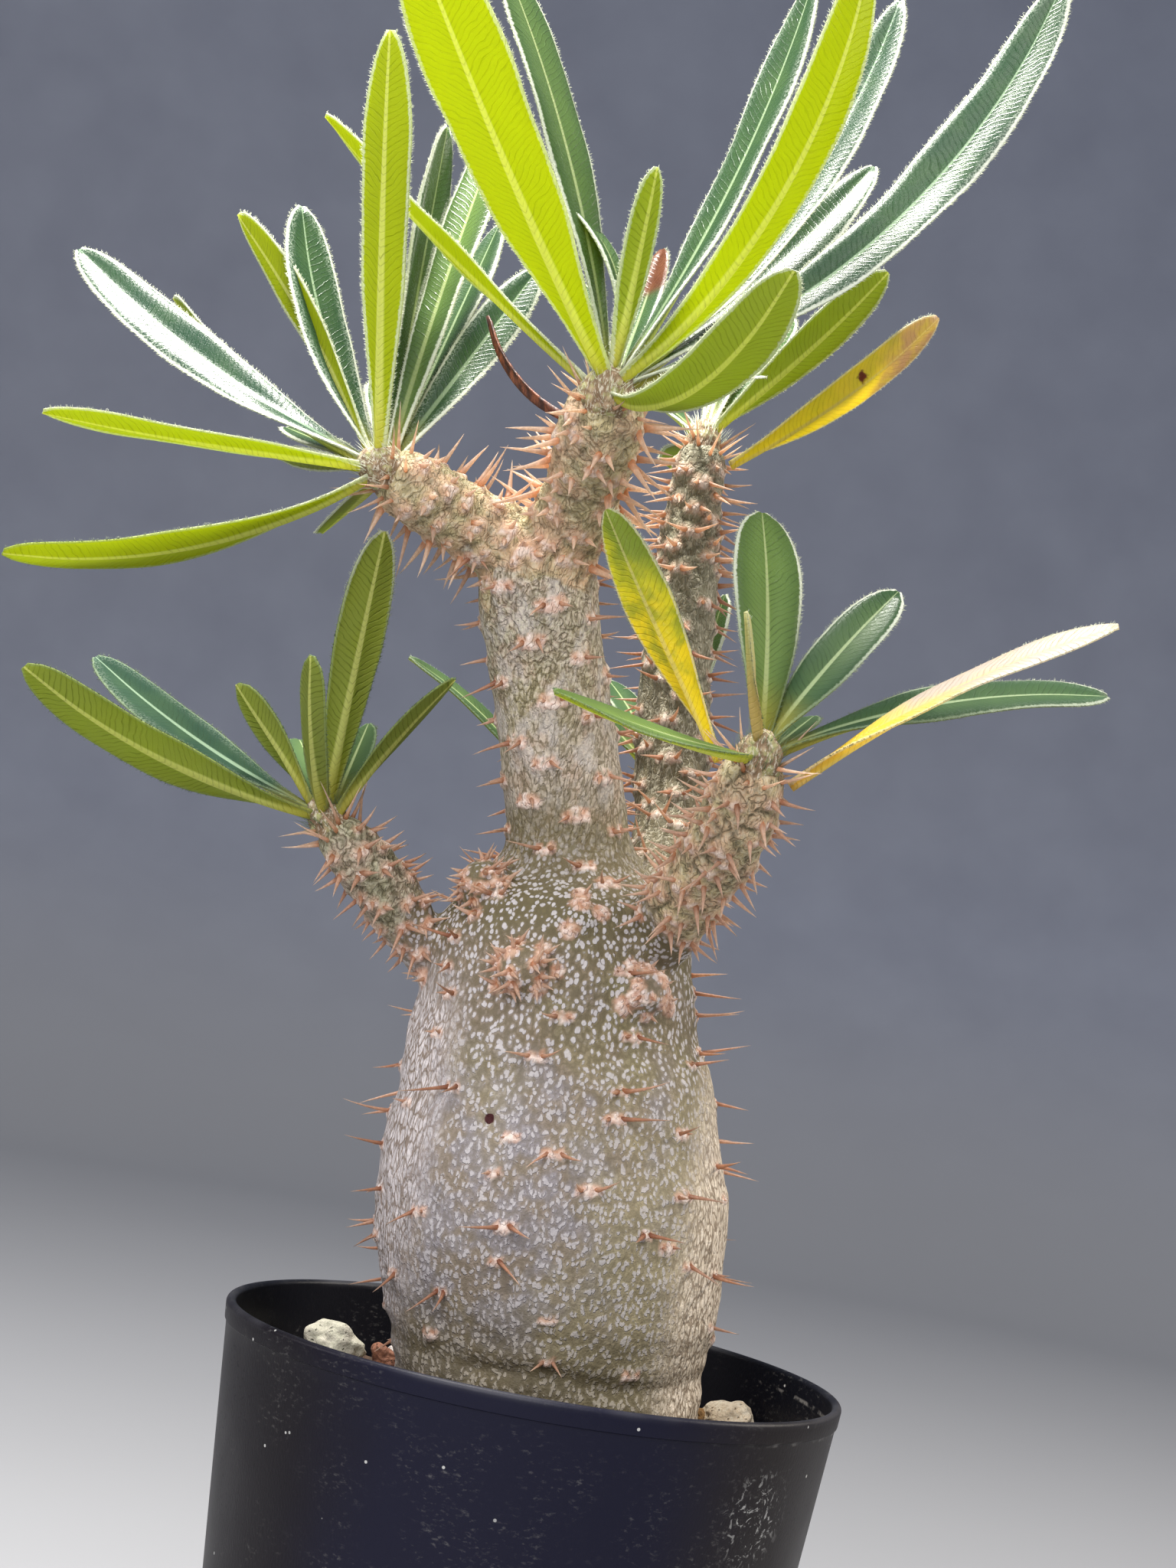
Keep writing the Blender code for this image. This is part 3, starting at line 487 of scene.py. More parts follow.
class Value:
    """A number, colour or vector that a look's nodes work out. What is done with it adds more nodes."""

    def __init__(self, look, socket):
        self.look, self.socket = look, socket

    def math(self, operation, other=0.0):
        return self.look.node("Math", {0: self, 1: other}, operation=operation)

    def __add__(self, other):
        return self.math("ADD", other)

    def __sub__(self, other):
        return self.math("SUBTRACT", other)

    def __rsub__(self, other):
        return self.look.node("Math", {0: other, 1: self}, operation="SUBTRACT")

    def __mul__(self, other):
        return self.math("MULTIPLY", other)

    def __abs__(self):
        return self.math("ABSOLUTE")

    def or_more(self, other):
        return self.math("MAXIMUM", other)

    def zigzag(self, top):
        """Up and down between 0 and top."""
        return self.math("PINGPONG", top)

    def step(self, low, high):
        """0 at low and 1 at high, with a smooth change between them."""
        ends = (low, high, 0.0, 1.0) if low < high else (high, low, 1.0, 0.0)
        inputs = dict(zip(("Value", "From Min", "From Max", "To Min", "To Max"), (self, *ends)))
        return self.look.node("MapRange", inputs, "Result", interpolation_type="SMOOTHSTEP")

    def mix(self, first, second):
        """The first colour where this is 0, and the second where it is 1."""
        return self.look.mixed(self, first, second)

    def coated(self, share, colour):
        """This colour, with some share of another over it."""
        return self.look.mixed(share, self, colour)

    def blend(self, first, second):
        """The first number where this is 0, and the second where it is 1."""
        return self.look.node("Mix", {0: self, 2: first, 3: second}, data_type="FLOAT")

    def bump(self, depth):
        """A normal for a height from 0 to 1 that is worth depth millimetres."""
        return self.look.node("Bump", {"Height": self, "Distance": depth * MM}, "Normal")

    def vector(self, operation, other=None, output=0, scale=None):
        return self.look.node("VectorMath", {0: self, 1: other, "Scale": scale}, output, operation=operation)

    def axis(self, name):
        return self.look.node("SeparateXYZ", {0: self}, name)

    def stretched(self, *factors):
        return self.vector("MULTIPLY", factors)

    def distance(self, point):
        return self.vector("DISTANCE", tuple(point), "Value")

    def warped(self, size, reach):
        """The coordinates moved about by up to half of reach."""
        push = self.look.node("TexNoise", {"Vector": self, "Scale": 1 / size, "Detail": 1.0}, "Color")
        push = push.vector("SUBTRACT", (0.5, 0.5, 0.5)).vector("SCALE", scale=reach)
        return self.vector("ADD", push)

    def noise(self, size, detail=2.0, rough=0.5):
        """Blobs about size across, with values round 0.5."""
        inputs = {"Vector": self, "Scale": 1 / size, "Detail": detail, "Roughness": rough}
        return self.look.node("TexNoise", inputs, "Fac")

    def cells(self, size, output="Distance", feature="F1"):
        return self.look.node("TexVoronoi", {"Vector": self, "Scale": 1 / size}, output, feature=feature)


class Look:
    """A material, and the nodes that its colour and relief are worked out by."""

    def __init__(self, name, roughness=0.5):
        self.material = bpy.data.materials.new(name)
        self.material.use_nodes = True
        self.tree = self.material.node_tree
        self.shader = self.tree.nodes["Principled BSDF"]
        self.shader.inputs["Roughness"].default_value = roughness
        # The point's own coordinates in millimetres
        self.places = self.node("TexCoord", {}, "Object").vector("SCALE", scale=1 / MM)

    def feed(self, socket, value):
        if isinstance(value, Value):
            self.tree.links.new(value.socket, socket)
        else:
            socket.default_value = value

    def node(self, kind, inputs, output=0, **settings):
        """One output of a new node, whose inputs are values, plain numbers or None."""
        made = self.tree.nodes.new("ShaderNode" + kind)
        for name, value in settings.items():
            setattr(made, name, value)
        for name, value in inputs.items():
            if value is not None:
                self.feed(made.inputs[name], value)
        return Value(self, made.outputs[output])

    def mixed(self, share, first, second):
        return self.node("Mix", {0: share, 6: rgba(first), 7: rgba(second)}, 2, data_type="RGBA")

    def value(self, name):
        """What the mesh has under this name at its points."""
        return self.node("Attribute", {}, "Fac", attribute_name=name)

    def values(self, names):
        return [self.value(name) for name in names.split()]

    def set(self, **inputs):
        """Feeds the shader, with a socket's name written with underscores, and returns the material."""
        for name, value in inputs.items():
            self.feed(self.shader.inputs[name.replace("_", " ")], value)
        return self.material

    def lit_through(self, share, colour, normal=None):
        """Mixes in light from behind the surface, and returns the material."""
        through = self.node("BsdfTranslucent", {"Color": rgba(colour), "Normal": normal})
        plain = Value(self, self.shader.outputs[0])
        both = self.node("MixShader", {0: share, 1: plain, 2: through})
        self.feed(self.tree.nodes["Material Output"].inputs["Surface"], both)
        return self.material


def bark_parts(look):
    """Masks from 0 to 1 for the parts of the bark that look different, and for the painted light and shade on
    it.
    """
    places = look.places
    height, sideways = places.axis("Z"), places.axis("X")
    patch = places.noise(14.0, 3.0, 0.6)
    higher = height + patch * 8.0
    # flank: the sides of the swollen stem, which carry the net of fine lines and are painted paler as rim
    # light
    flank = (abs(sideways + 1.0) + patch * 3.0).step(17.0, 24.0) * height.step(*FLANK_BARK)
    young, tight = look.values("young tight")
    return SimpleNamespace(
        high=higher.step(*SHOULDER_BARK),
        low=higher.step(*LOW_BARK),
        # neck: painted shade round the joint where the low branches and buds leave the stem
        shaded_neck=higher.step(*NECK_FOOT) * higher.step(*NECK_TOP) * (1.0 - tight),
        flank=flank,
        right=sideways.step(-6.0, 6.0),
        olive=(patch + sideways * 0.009).step(0.4, 0.72),
        patch=patch,
        # behind: 1 on the young bark at the back, where the bark carries painted shade
        behind=places.axis("Y").step(1.5, 6.0) * young,
        # bright: painted light, 0 on the low-left branch, drawn darker as if shaded, and 1 on the other
        # branches and on all bark above BRIGHT_BARK, drawn lighter as if sunlit
        bright=sideways.step(-28.0, -20.0).or_more(height.step(*BRIGHT_BARK)),
        # upper: above these heights the painted shade on the back, in the folds and in the creases grows
        # fainter
        upper=height.step(*UPPER_BARK),
        worn=places.stretched(1, 1, 0.6).noise(3.2, 3.0, 0.6).step(0.48, 0.62),
        young=young,
        tight=tight,
        columns=flank.or_more(young),
    )


def bark_ground(places, part):
    """The bark's colour under its flecks and lines."""
    tint = places.noise(5.0, 2.0, 0.6)
    swollen = tint.step(0.42, 0.6).mix((0.285, 0.258, 0.27), (0.275, 0.222, 0.175))
    swollen = swollen.coated(part.olive * 0.9, (0.335, 0.285, 0.165))
    shoulder = part.olive.mix((0.215, 0.16, 0.095), (0.175, 0.155, 0.065))
    swollen = swollen.coated(part.high * 0.75, shoulder)
    swollen = swollen.coated(part.low * 0.75, (0.15, 0.122, 0.062))
    # The flanks pale pink, and cream on the right: partly the bark's own pale net, partly painted rim light
    side = part.right.mix((0.60, 0.55, 0.55), (0.86, 0.73, 0.57))
    swollen = swollen.coated(part.flank * 0.85, side)
    stem = part.patch.step(0.4, 0.65).mix((0.40, 0.34, 0.27), (0.33, 0.285, 0.155))
    stem = stem.coated(tint.step(0.5, 0.64) * 0.55, (0.50, 0.35, 0.26))
    stem = stem.coated(part.worn * 0.6, (0.56, 0.52, 0.50))
    # Painted light: the branches' beige and olive are much paler where bright, and darker where painted as
    # shaded
    beige = part.bright.mix((0.36, 0.28, 0.205), (0.64, 0.44, 0.27))
    olive = part.bright.mix((0.26, 0.245, 0.15), (0.53, 0.44, 0.235))
    branch = tint.step(0.4, 0.6).mix(beige, olive)
    # Painted shade: the bark at the back is nearly black low down and dark olive higher up
    shaded_back = part.upper.mix((0.065, 0.056, 0.026), (0.19, 0.185, 0.125))
    grown = part.tight.mix(stem, branch).coated(part.behind * 0.92, shaded_back)
    # Painted shade: the neck dark olive brown
    ground = part.young.mix(swollen, grown).coated(part.shaded_neck * 0.85, (0.12, 0.10, 0.04))
    mottled = places.stretched(1, 1, 0.6).noise(1.2, 4.0, 0.7).step(0.6, 0.36)
    return ground.coated(mottled * 0.5, ground.coated(0.55, (0.08, 0.06, 0.03)))


def bark_flecks(places, part, colour):
    """Pale flecks, ragged low down and upright ovals higher up. Returns the colour, and 1 on a fleck."""
    ragged = places.noise(0.5, 2.0, 0.6) * part.high.blend(0.58, 0.3) + part.high * 0.15
    drifting = places.stretched(1, 1, 0.72).warped(1.4, part.high.blend(1.1, 0.55))
    distance = drifting.cells(0.78) - ragged
    spotted = 1.0 - part.columns
    fleck = distance.step(0.19, 0.05) * spotted
    dark = distance.step(0.22, 0.42) * spotted * part.high.or_more(part.low).blend(0.35, 0.6)
    pale = places.noise(1.2, 1.0).mix((0.44, 0.41, 0.42), (0.64, 0.61, 0.62))
    pale = pale.coated(part.low * 0.7, (0.42, 0.36, 0.25))
    colour = colour.coated(dark, (0.10, 0.08, 0.04))
    return colour.coated(fleck * part.high.blend(0.64, 0.85), pale), fleck


def bark_net(places, part, colour):
    """Thin dark lines round pale upright cells, on the flanks and, more faintly, on the stems."""
    breaks = (places.noise(0.6, 2.0, 0.6) - 0.5) * part.young.blend(0.2, 0.6)
    edge = places.stretched(1, 1, 0.4).warped(1.2, 0.9).cells(0.88, feature="DISTANCE_TO_EDGE") + breaks
    soft = part.columns * (1.0 - part.tight * 0.6)
    cell = part.right.mix((0.74, 0.68, 0.68), (0.92, 0.81, 0.67))
    # Painted shade: the net's pale cells turn dark on the back
    cell = cell.coated(part.young, (0.60, 0.52, 0.42)).coated(part.behind, (0.26, 0.24, 0.17))
    lively = edge.step(0.03, 0.24) * places.noise(0.9, 2.0).step(0.35, 0.65)
    # The net is fainter in the painted shade of the neck
    strength = part.young.blend(0.75, 0.58 - part.shaded_neck * 0.4)
    colour = colour.coated(lively * soft * strength, cell)
    line = part.young.mix((0.15, 0.095, 0.05), (0.12, 0.095, 0.045))
    drawn = edge.step(0.15, 0.03) * part.young.blend(0.75, 0.66 - part.worn * 0.42)
    return colour.coated(drawn * soft, line)


def bark_cushions(look, part, colour):
    """Rosy cushions, their white scars, the creases between them and curling folds round them, with painted
    shade in the creases and folds, painted highlights on the fold ridges and painted shade over the cushions
    at the back.

    Returns the colour, and 1 in a fold.
    """
    places = look.places
    near, folded, pad, scar, crease = look.values("from_cushion folded pad scar crease")
    rings = (near * 0.3 + places.noise(2.6, 2.0) * 6.0).zigzag(0.5)
    folds = rings.step(0.16, 0.03) * folded
    ridges = rings.step(0.3, 0.46) * (folded - part.behind)
    shaded = part.tight * (1.0 - part.upper)
    # Painted highlights on the fold ridges, and painted shade in the folds, darkest on the lower tight
    # branches
    colour = colour.coated(ridges * 0.3, (0.70, 0.67, 0.50))
    colour = colour.coated(folds * shaded.blend(0.38, 0.6), (0.11, 0.09, 0.04))
    blush = places.noise(0.9, 2.0).step(0.35, 0.6)
    rosy = blush.mix((0.46, 0.22, 0.13), (0.64, 0.40, 0.29))
    white = blush.mix((0.62, 0.43, 0.35), (0.80, 0.67, 0.60))
    # Painted shade: the cushions and scars dimmed on the back, most low down
    shown = 1.0 - part.behind * part.upper.blend(0.45, 0.1)
    colour = colour.coated(pad * (0.8 - part.tight * 0.38) * shown, rosy)
    colour = colour.coated(scar * (0.92 - part.tight * 0.2) * shown, white)
    # Painted shade: the creases between the cushions dark, less so high up
    return colour.coated(crease * part.upper.blend(0.75, 0.45), (0.075, 0.065, 0.03)), folds


def bark_look(pit):
    """Grey beige bark: pale flecks on the swollen part, a net of fine lines on its sides and on the stems."""
    look = Look("bark", 0.8)
    places, part = look.places, bark_parts(look)
    colour, fleck = bark_flecks(places, part, bark_ground(places, part))
    colour = bark_net(places, part, colour)
    band = places.stretched(0.12, 0.12, 1).noise(3.0, 2.0).step(0.5, 0.62)
    colour = colour.coated(band * places.axis("Z").step(*BANDED_BARK) * 0.45, (0.08, 0.06, 0.025))
    wrinkle = abs(places.stretched(1, 1, 0.4).noise(1.0, 2.0) - 0.5)
    # Painted highlights: pale wrinkle lines over the painted shade on the back
    colour = colour.coated(wrinkle.step(0.05, 0.018) * part.behind * 0.4, (0.56, 0.52, 0.40))
    colour, folds = bark_cushions(look, part, colour)
    in_pit = places.distance(pit).step(PIT_RADIUS * 1.25, PIT_RADIUS)
    colour = colour.coated(in_pit, (0.05, 0.005, 0.007))
    relief = wrinkle.step(0.0, 0.07) * part.columns + places.noise(0.5, 2.0, 0.6) * 1.4 - folds + fleck
    return look.set(Base_Color=colour, Normal=relief.bump(0.12))


def spine_look():
    """Red brown at the foot, pale in the middle, nearly white at the tip, and all paler when fresh."""
    look = Look("spines", 0.45)
    along, fresh = look.values("along fresh")
    streaks = look.places.noise(0.5, 2.0)
    foot = fresh.mix((0.27, 0.095, 0.05), (0.90, 0.46, 0.25))
    middle = fresh.mix((0.54, 0.27, 0.165), (1.0, 0.82, 0.67))
    tip = fresh.mix((0.60, 0.44, 0.34), (1.0, 0.88, 0.76))
    colour = along.step(0.05, 0.35).mix(foot, middle).coated(along.step(0.45, 0.95), tip)
    colour = colour.coated(streaks.step(0.75, 0.4), colour.coated(0.3, (0.1, 0.03, 0.02)))
    look.set(Base_Color=colour, Normal=streaks.bump(0.06))
    return look.lit_through(fresh.blend(0.4, 0.6), colour.coated(0.5, (1.0, 0.72, 0.46)))


def side_veins(places, along, across):
    """Fine veins that leave the midrib forwards: 1 on a vein and 0 between them."""
    drift = places.noise(7.0, 1.0) * 3.0 + places.noise(1.8, 1.0) * 0.9
    return (along - abs(across) * VEIN_SLOPE + drift).zigzag(VEIN_SPACING / 2).step(0.16, 0.02)


def ragged_inset(look):
    """How far in from the leaf's edge, made uneven."""
    return look.value("inset") + look.places.noise(0.4, 2.0) * -0.5


def leaf_look(upper):
    """The upper or the under face of the green leaves: veins, pale midrib, white margin, partly a painted
    highlight, and dried tip.
    """
    look = Look("leaf_upper_face" if upper else "leaf_under_face", 0.6)
    tone, dry, faded, along, across, off_rib = look.values("tone dry faded along across off_rib")
    places = look.places
    sunlit = places.axis("Z").step(*SUNLIT_LEAVES)
    if upper:
        dark, bright = (0.013, 0.048, 0.030), (0.18, 0.29, 0.08)
        rib = tone.step(0.05, 0.4).mix((0.25, 0.36, 0.24), (0.42, 0.50, 0.24))
        shade, strength = (0.008, 0.026, 0.014), 0.32
        near_rib = off_rib.step(0.46, 0.22)
        vein_height, relief_depth = -0.5, 0.035
    else:
        dark, bright, rib = (0.24, 0.28, 0.10), (0.32, 0.37, 0.003), (0.70, 0.72, 0.22)
        shade, strength = (0.05, 0.07, 0.004), tone.blend(0.55, 0.1)
        near_rib = off_rib.step(0.78, 0.45)
        vein_height, relief_depth = 1.0, 0.05
    colour = tone.mix(dark, bright)
    colour = colour.coated(places.noise(6.0, 2.0).step(0.35, 0.7) * tone.blend(0.08, 0.25), bright)
    veins = side_veins(places, along, across)
    strong = (off_rib.step(2.2, 0.7) * 0.18 + strength) * places.noise(2.5, 2.0).step(0.3, 0.6)
    colour = colour.coated(veins * strong, shade).coated(near_rib * 0.9, rib)
    colour = colour.coated(along.step(10.0, 1.0) * 0.75, (0.54, 0.46, 0.06))
    ragged = ragged_inset(look)
    if upper:
        colour = colour.coated(look.value("inset").step(3.2, 0.3) * 0.45, dark)
        frost = ragged.step(1.5, 0.1) * places.noise(0.25, 2.0).step(0.42, 0.6)
        frost = frost * (tone.step(0.26, 0.14) * sunlit.blend(0.3, 1.0))
        colour = colour.coated(frost * 0.6, (0.52, 0.60, 0.48))
    # Pale margin band: partly the margin's own pale hairs, partly a painted highlight, pale and wide only
    # where the leaves are painted as sunlit
    rim = (ragged - sunlit * 0.14).step(0.16, -0.08) * sunlit.blend(0.35, 0.85)
    colour = colour.coated(rim, sunlit.mix((0.36, 0.46, 0.27), (0.80, 0.83, 0.70)))
    crisp = places.noise(2.0, 2.0).mix((0.06, 0.018, 0.01), (0.19, 0.075, 0.035))
    tan = along.step(6.0, 16.0).mix((0.66, 0.44, 0.24), (0.72, 0.70, 0.36))
    colour = colour.coated(dry, crisp).coated(faded * 0.85, tan)
    relief = (places.noise(0.25, 2.0, 0.6) + veins * vein_height).bump(relief_depth)
    look.set(Base_Color=colour, Normal=relief, Specular_IOR_Level=0.23)
    if upper:
        downy = places.noise(0.28, 2.0).step(0.3, 0.7)
        look.set(Roughness=sunlit.blend(0.85, downy.blend(0.2, 0.34)))

    glow = tone.mix((0.10, 0.20, 0.05) if upper else (0.22, 0.33, 0.02), (0.72, 0.80, 0.003))
    glow = glow.coated(near_rib * (tone.blend(0.2, 0.9) if upper else 0.7), (0.90, 0.92, 0.20))
    glow = glow.coated(veins * strong * 1.2, (0.36, 0.40, 0.004))
    glow = glow.coated(faded * 0.8, (0.60, 0.52, 0.20)).coated(dry, (0.13, 0.05, 0.02))
    return look.lit_through(tone.blend(0.16, 0.4) if upper else 0.47, glow, relief)


def crown_look():
    """The young bark between the leaf feet: beige and green scales."""
    look = Look("crown_bark", 0.75)
    places = look.places
    scale = places.warped(1.5, 0.8).cells(1.5)
    felt = places.stretched(1, 1, 0.4).noise(0.35, 2.0)
    colour = places.noise(2.5, 2.0).step(0.38, 0.62).mix((0.42, 0.30, 0.19), (0.36, 0.36, 0.15))
    colour = colour.coated(scale.step(0.25, 0.6), (0.20, 0.13, 0.07))
    colour = colour.coated(felt.step(0.5, 0.66) * 0.6, (0.74, 0.68, 0.55))
    return look.set(Base_Color=colour, Normal=(felt - scale).bump(0.3))


def hair_look():
    look = Look("leaf_hairs", 0.5)
    sunlit = look.places.axis("Z").step(*SUNLIT_LEAVES)
    colour = look.places.noise(3.0).mix((0.66, 0.70, 0.54), (0.84, 0.86, 0.76))
    look.set(Base_Color=sunlit.mix((0.19, 0.26, 0.13), colour))
    return look.lit_through(0.4, sunlit.mix((0.20, 0.28, 0.12), (0.86, 0.90, 0.66)))


def old_leaf_look(fading):
    look = Look(fading.look, 0.45)
    along, across, off_rib = look.values("along across off_rib")
    places = look.places
    drift = along + (places.noise(5.0, 3.0) - 0.5) * 16.0 + across * OLD_LEAF_SLANT
    colour = drift.step(*fading.first).mix(fading.foot, fading.middle)
    colour = colour.coated(drift.step(*fading.second), fading.tip)
    blotch = places.noise(3.2, 3.0, 0.6).step(0.42, 0.68) * along.step(6.0, 16.0)
    colour = colour.coated(blotch * fading.mottled, fading.mottle)
    colour = colour.coated(off_rib.step(0.55, 0.25) * 0.5, (0.84, 0.76, 0.34))
    if fading.spot:
        away = look.node("CombineXYZ", {0: along, 1: across}).distance((*fading.spot, 0))
        away = away + places.noise(0.9, 3.0) * 1.6
        colour = colour.coated(away.step(1.9, 1.3), (0.22, 0.045, 0.012))
    colour = colour.coated(ragged_inset(look).step(0.12, -0.06) * 0.6, (0.84, 0.80, 0.62))
    veins = side_veins(places, along, across)
    colour = colour.coated(veins * 0.2, colour.coated(0.5, (0.25, 0.12, 0.01)))
    relief = (veins + places.noise(0.4, 1.0)).bump(0.06)
    look.set(Base_Color=colour, Normal=relief)
    return look.lit_through(0.5, colour, relief)


def dry_leaf_look():
    look = Look("dry_leaf", 0.55)
    streak = look.places.stretched(1, 1, 0.4).noise(1.2, 3.0, 0.6)
    colour = streak.step(0.35, 0.7).mix((0.035, 0.008, 0.005), (0.26, 0.075, 0.03))
    return look.set(Base_Color=colour, Normal=streak.bump(0.25))


def pot_look():
    """Matt black plastic with faint dust, small white specks and scuffs, and painted light: a bluish
    reflection down its middle, a lighter right side, shade inside and a highlight on the lip.
    """
    look = Look("pot_plastic", 0.5)
    places = look.places
    sideways, deep, height = (places.axis(name) for name in "XYZ")
    cloud = places.noise(22.0, 3.0, 0.6)
    # Painted light: the sides brown black and lighter on the right, with a painted bluish reflection down the
    # middle of the front and back
    side = sideways.step(-10.0, 10.0).mix((0.0066, 0.0052, 0.0076), (0.0115, 0.0088, 0.0094))
    away = abs(sideways) + cloud * 12.0
    colour = away.step(20.0, 40.0).mix((0.0074, 0.0076, 0.0200), side)
    from_axis = look.node("CombineXYZ", {0: sideways, 1: deep}).vector("LENGTH", output="Value")
    middle_of_wall = pot_radius(0) - POT_WALL / 2
    inside = from_axis - height * math.tan(POT_TAPER)
    inside = inside.step(middle_of_wall + 0.2, middle_of_wall - 0.2)
    # Painted shade: the inner face of the wall darker than the outer
    colour = colour.coated(inside, (0.0034, 0.0036, 0.0062))
    dust = places.stretched(0.7, 0.7, 1.4).noise(0.8, 3.0, 0.7).step(0.54, 0.78)
    patch = places.noise(9.0, 2.0).step(0.4, 0.65)
    colour = colour.coated(dust * patch * 0.2, (0.34, 0.33, 0.31))
    kept = places.cells(3.8, "Color").step(0.6, 0.64)
    colour = colour.coated(places.cells(3.8).step(0.07, 0.045) * kept * 0.75, (0.60, 0.60, 0.58))
    scratch = places.warped(3.0, 6.0).noise(0.9, 3.0, 0.65).step(0.56, 0.64)
    scuff = scratch * places.distance(SCUFF_AT).step(8.0, 2.5)
    colour = colour.coated(scuff * 0.75, (0.42, 0.42, 0.41))
    # The top of the lip a little paler: wear, and a painted highlight
    worn = height.step(POT_HEIGHT - 1.2, POT_HEIGHT - 0.1) * cloud.step(0.4, 0.6)
    colour = colour.coated(worn * 0.3, (0.09, 0.09, 0.10))
    under_lip = abs(height - (POT_HEIGHT - LIP_BAND)).step(0.4, 0.1)
    rubbed = sideways.step(27.0, 36.0) * places.noise(3.0, 3.0).step(0.46, 0.6)
    colour = colour.coated(under_lip * rubbed * 0.6, (0.22, 0.21, 0.20))
    rough = (cloud + dust * 0.4).step(0.0, 1.6) * 0.3 + 0.36
    grain = places.stretched(1, 1, 0.5).noise(0.35, 2.0)
    return look.set(Base_Color=colour, Roughness=rough, Normal=grain.bump(0.03), Specular_IOR_Level=0.16)


def grain_look():
    """Dark gritty grains. Each one's own value picks its colour."""
    look = Look("soil_grains", 0.92)
    kind = look.value("kind")
    rough = look.places.noise(0.8, 3.0, 0.7)
    colour = kind.step(0.35, 0.4).mix((0.022, 0.016, 0.012), (0.07, 0.035, 0.018))
    colour = colour.coated(kind.step(0.62, 0.66), (0.16, 0.062, 0.026))
    colour = colour.coated(kind.step(0.84, 0.86), (0.30, 0.24, 0.17))
    colour = colour.coated(rough.step(0.62, 0.3), colour.coated(0.6, (0.008, 0.006, 0.004)))
    return look.set(Base_Color=colour, Normal=rough.bump(0.4))


def stone_look(name, main, vein, stain):
    """A rough mineral: main colour, a paler or darker vein through it, and stains in its pores."""
    look = Look(name, 0.85)
    places = look.places
    pores = places.warped(1.5, 1.0).cells(0.9)
    grain = places.noise(0.6, 3.0, 0.7)
    colour = places.noise(2.6, 4.0, 0.65).step(0.4, 0.62).mix(main, vein)
    colour = colour.coated(pores.step(0.2, 0.08) * 0.7, stain)
    colour = colour.coated(grain.step(0.6, 0.35) * 0.35, stain)
    return look.set(Base_Color=colour, Normal=(grain + pores.step(0.05, 0.25)).bump(0.3))


def stage_look():
    look = Look("stage_paper", 0.9)
    places = look.places
    pale = places.noise(400.0, 2.0).mix((0.30, 0.305, 0.32), (0.34, 0.345, 0.36))
    deep = places.noise(60.0, 3.0).mix((0.24, 0.255, 0.31), (0.32, 0.34, 0.40))
    colour = places.axis("Z").step(0.0, 260.0).mix(pale, deep)
    return look.set(Base_Color=colour, Normal=places.noise(1.5, 2.0).bump(0.02))


def tip_of(route):
    """The end of a stem, the way it points there and its radius."""
    *_, before, last = route
    way = (Vector(last[:3]) - Vector(before[:3])).normalized()
    return Vector(last[:3]), way, last[3]


def old_leaf_foot(old):
    tip, way, radius = tip_of(old.route)
    before = old.route[-2]
    grows = direction(old.leaf.azimuth, old.leaf.rise)
    out = (grows - way * grows.dot(way)).normalized()
    widens = (before[3] - radius) / (tip - Vector(before[:3])).length
    return tip - way * old.below + out * (radius + widens * old.below + GAP + BLADE_THICKNESS / 2)


def leaf_foot(leaf, seat, way, radius):
    """Where a leaf starts inside its growing point: higher the more it grows in line with the branch."""
    grows = direction(leaf.azimuth, leaf.rise)
    in_line = max(0.0, grows.dot(way))
    out = grows - way * grows.dot(way)
    out = out.normalized() if out.length > 0.05 else Vector((0, 0, 0))
    return seat + way * (FOOT_LOWEST + FOOT_LIFT * in_line) + out * radius * FOOT_OUT * (1 - 0.6 * in_line)


def stem_curve():
    """All stems as tubes along their routes."""
    curve = bpy.data.curves.new("stems", "CURVE")
    curve.dimensions = "3D"
    curve.bevel_depth = MM
    curve.bevel_resolution = STEM_ROUND
    curve.use_fill_caps = True
    leafy = [route for route, _ in HEADS.values()]
    for route in STEMS:
        rows = list(smoothed(route, STEM_STEP)[1])
        if route in leafy:
            tip, way, radius = tip_of(route)
            rows += [(*(tip + way * past), radius * share) for past, share in STEM_CAP]
        spline = curve.splines.new("POLY")
        spline.points.add(len(rows) - 1)
        for point, (x, y, z, radius) in zip(spline.points, rows):
            point.co = (x * MM, y * MM, z * MM, 1)
            point.radius = radius
    return curve


def stem_solid():
    """All stems as one closed mesh with soft joins between them."""
    guide = linked("stems", stem_curve())
    obj = linked("trunk_bark", evaluated_mesh(guide))
    bpy.data.objects.remove(guide)
    remesh = obj.modifiers.new("Fuse", "REMESH")
    remesh.mode = "VOXEL"
    remesh.voxel_size = BARK_VOXEL * MM
    smooth = obj.modifiers.new("Smooth", "SMOOTH")
    smooth.factor = 0.5
    smooth.iterations = BARK_SMOOTHING
    apply_modifiers(obj)
    return obj


Cushion = namedtuple("Cushion", "point out way zone size")


def cushions_of(zone, surface, draw):
    """Places for a zone's cushions, on a spiral round its stem that keeps their spacing."""
    shares, rows = smoothed(zone.route, 0.1)
    step = np.linalg.norm(np.diff(rows[:, :3], axis=0), axis=1).mean()
    turn, waited = draw.uniform(0, math.tau), 0.0
    for i in range(len(rows) - 1):
        if not zone.low <= shares[i] <= zone.high:
            continue
        centre, radius = Vector(rows[i, :3]), rows[i, 3]
        waited += step * math.tau * radius / zone.spacing**2
        if waited < 1:
            continue
        waited = 0.0
        turn += GOLDEN_ANGLE + draw.uniform(-0.35, 0.35)
        way = (Vector(rows[i + 1, :3]) - centre).normalized()
        side = way.cross(Vector((0, 1, 0))).normalized()
        hit, normal, _, reach = surface.ray_cast(centre * MM, turned_about(way, side, -turn))
        if hit is None or abs(reach / MM - radius) > 0.25 * radius + 0.6 or hit.z / MM < SOIL_TOP + 2:
            continue
        yield Cushion(hit / MM, normal, way, zone, zone.size * draw.uniform(0.75, 1.2))


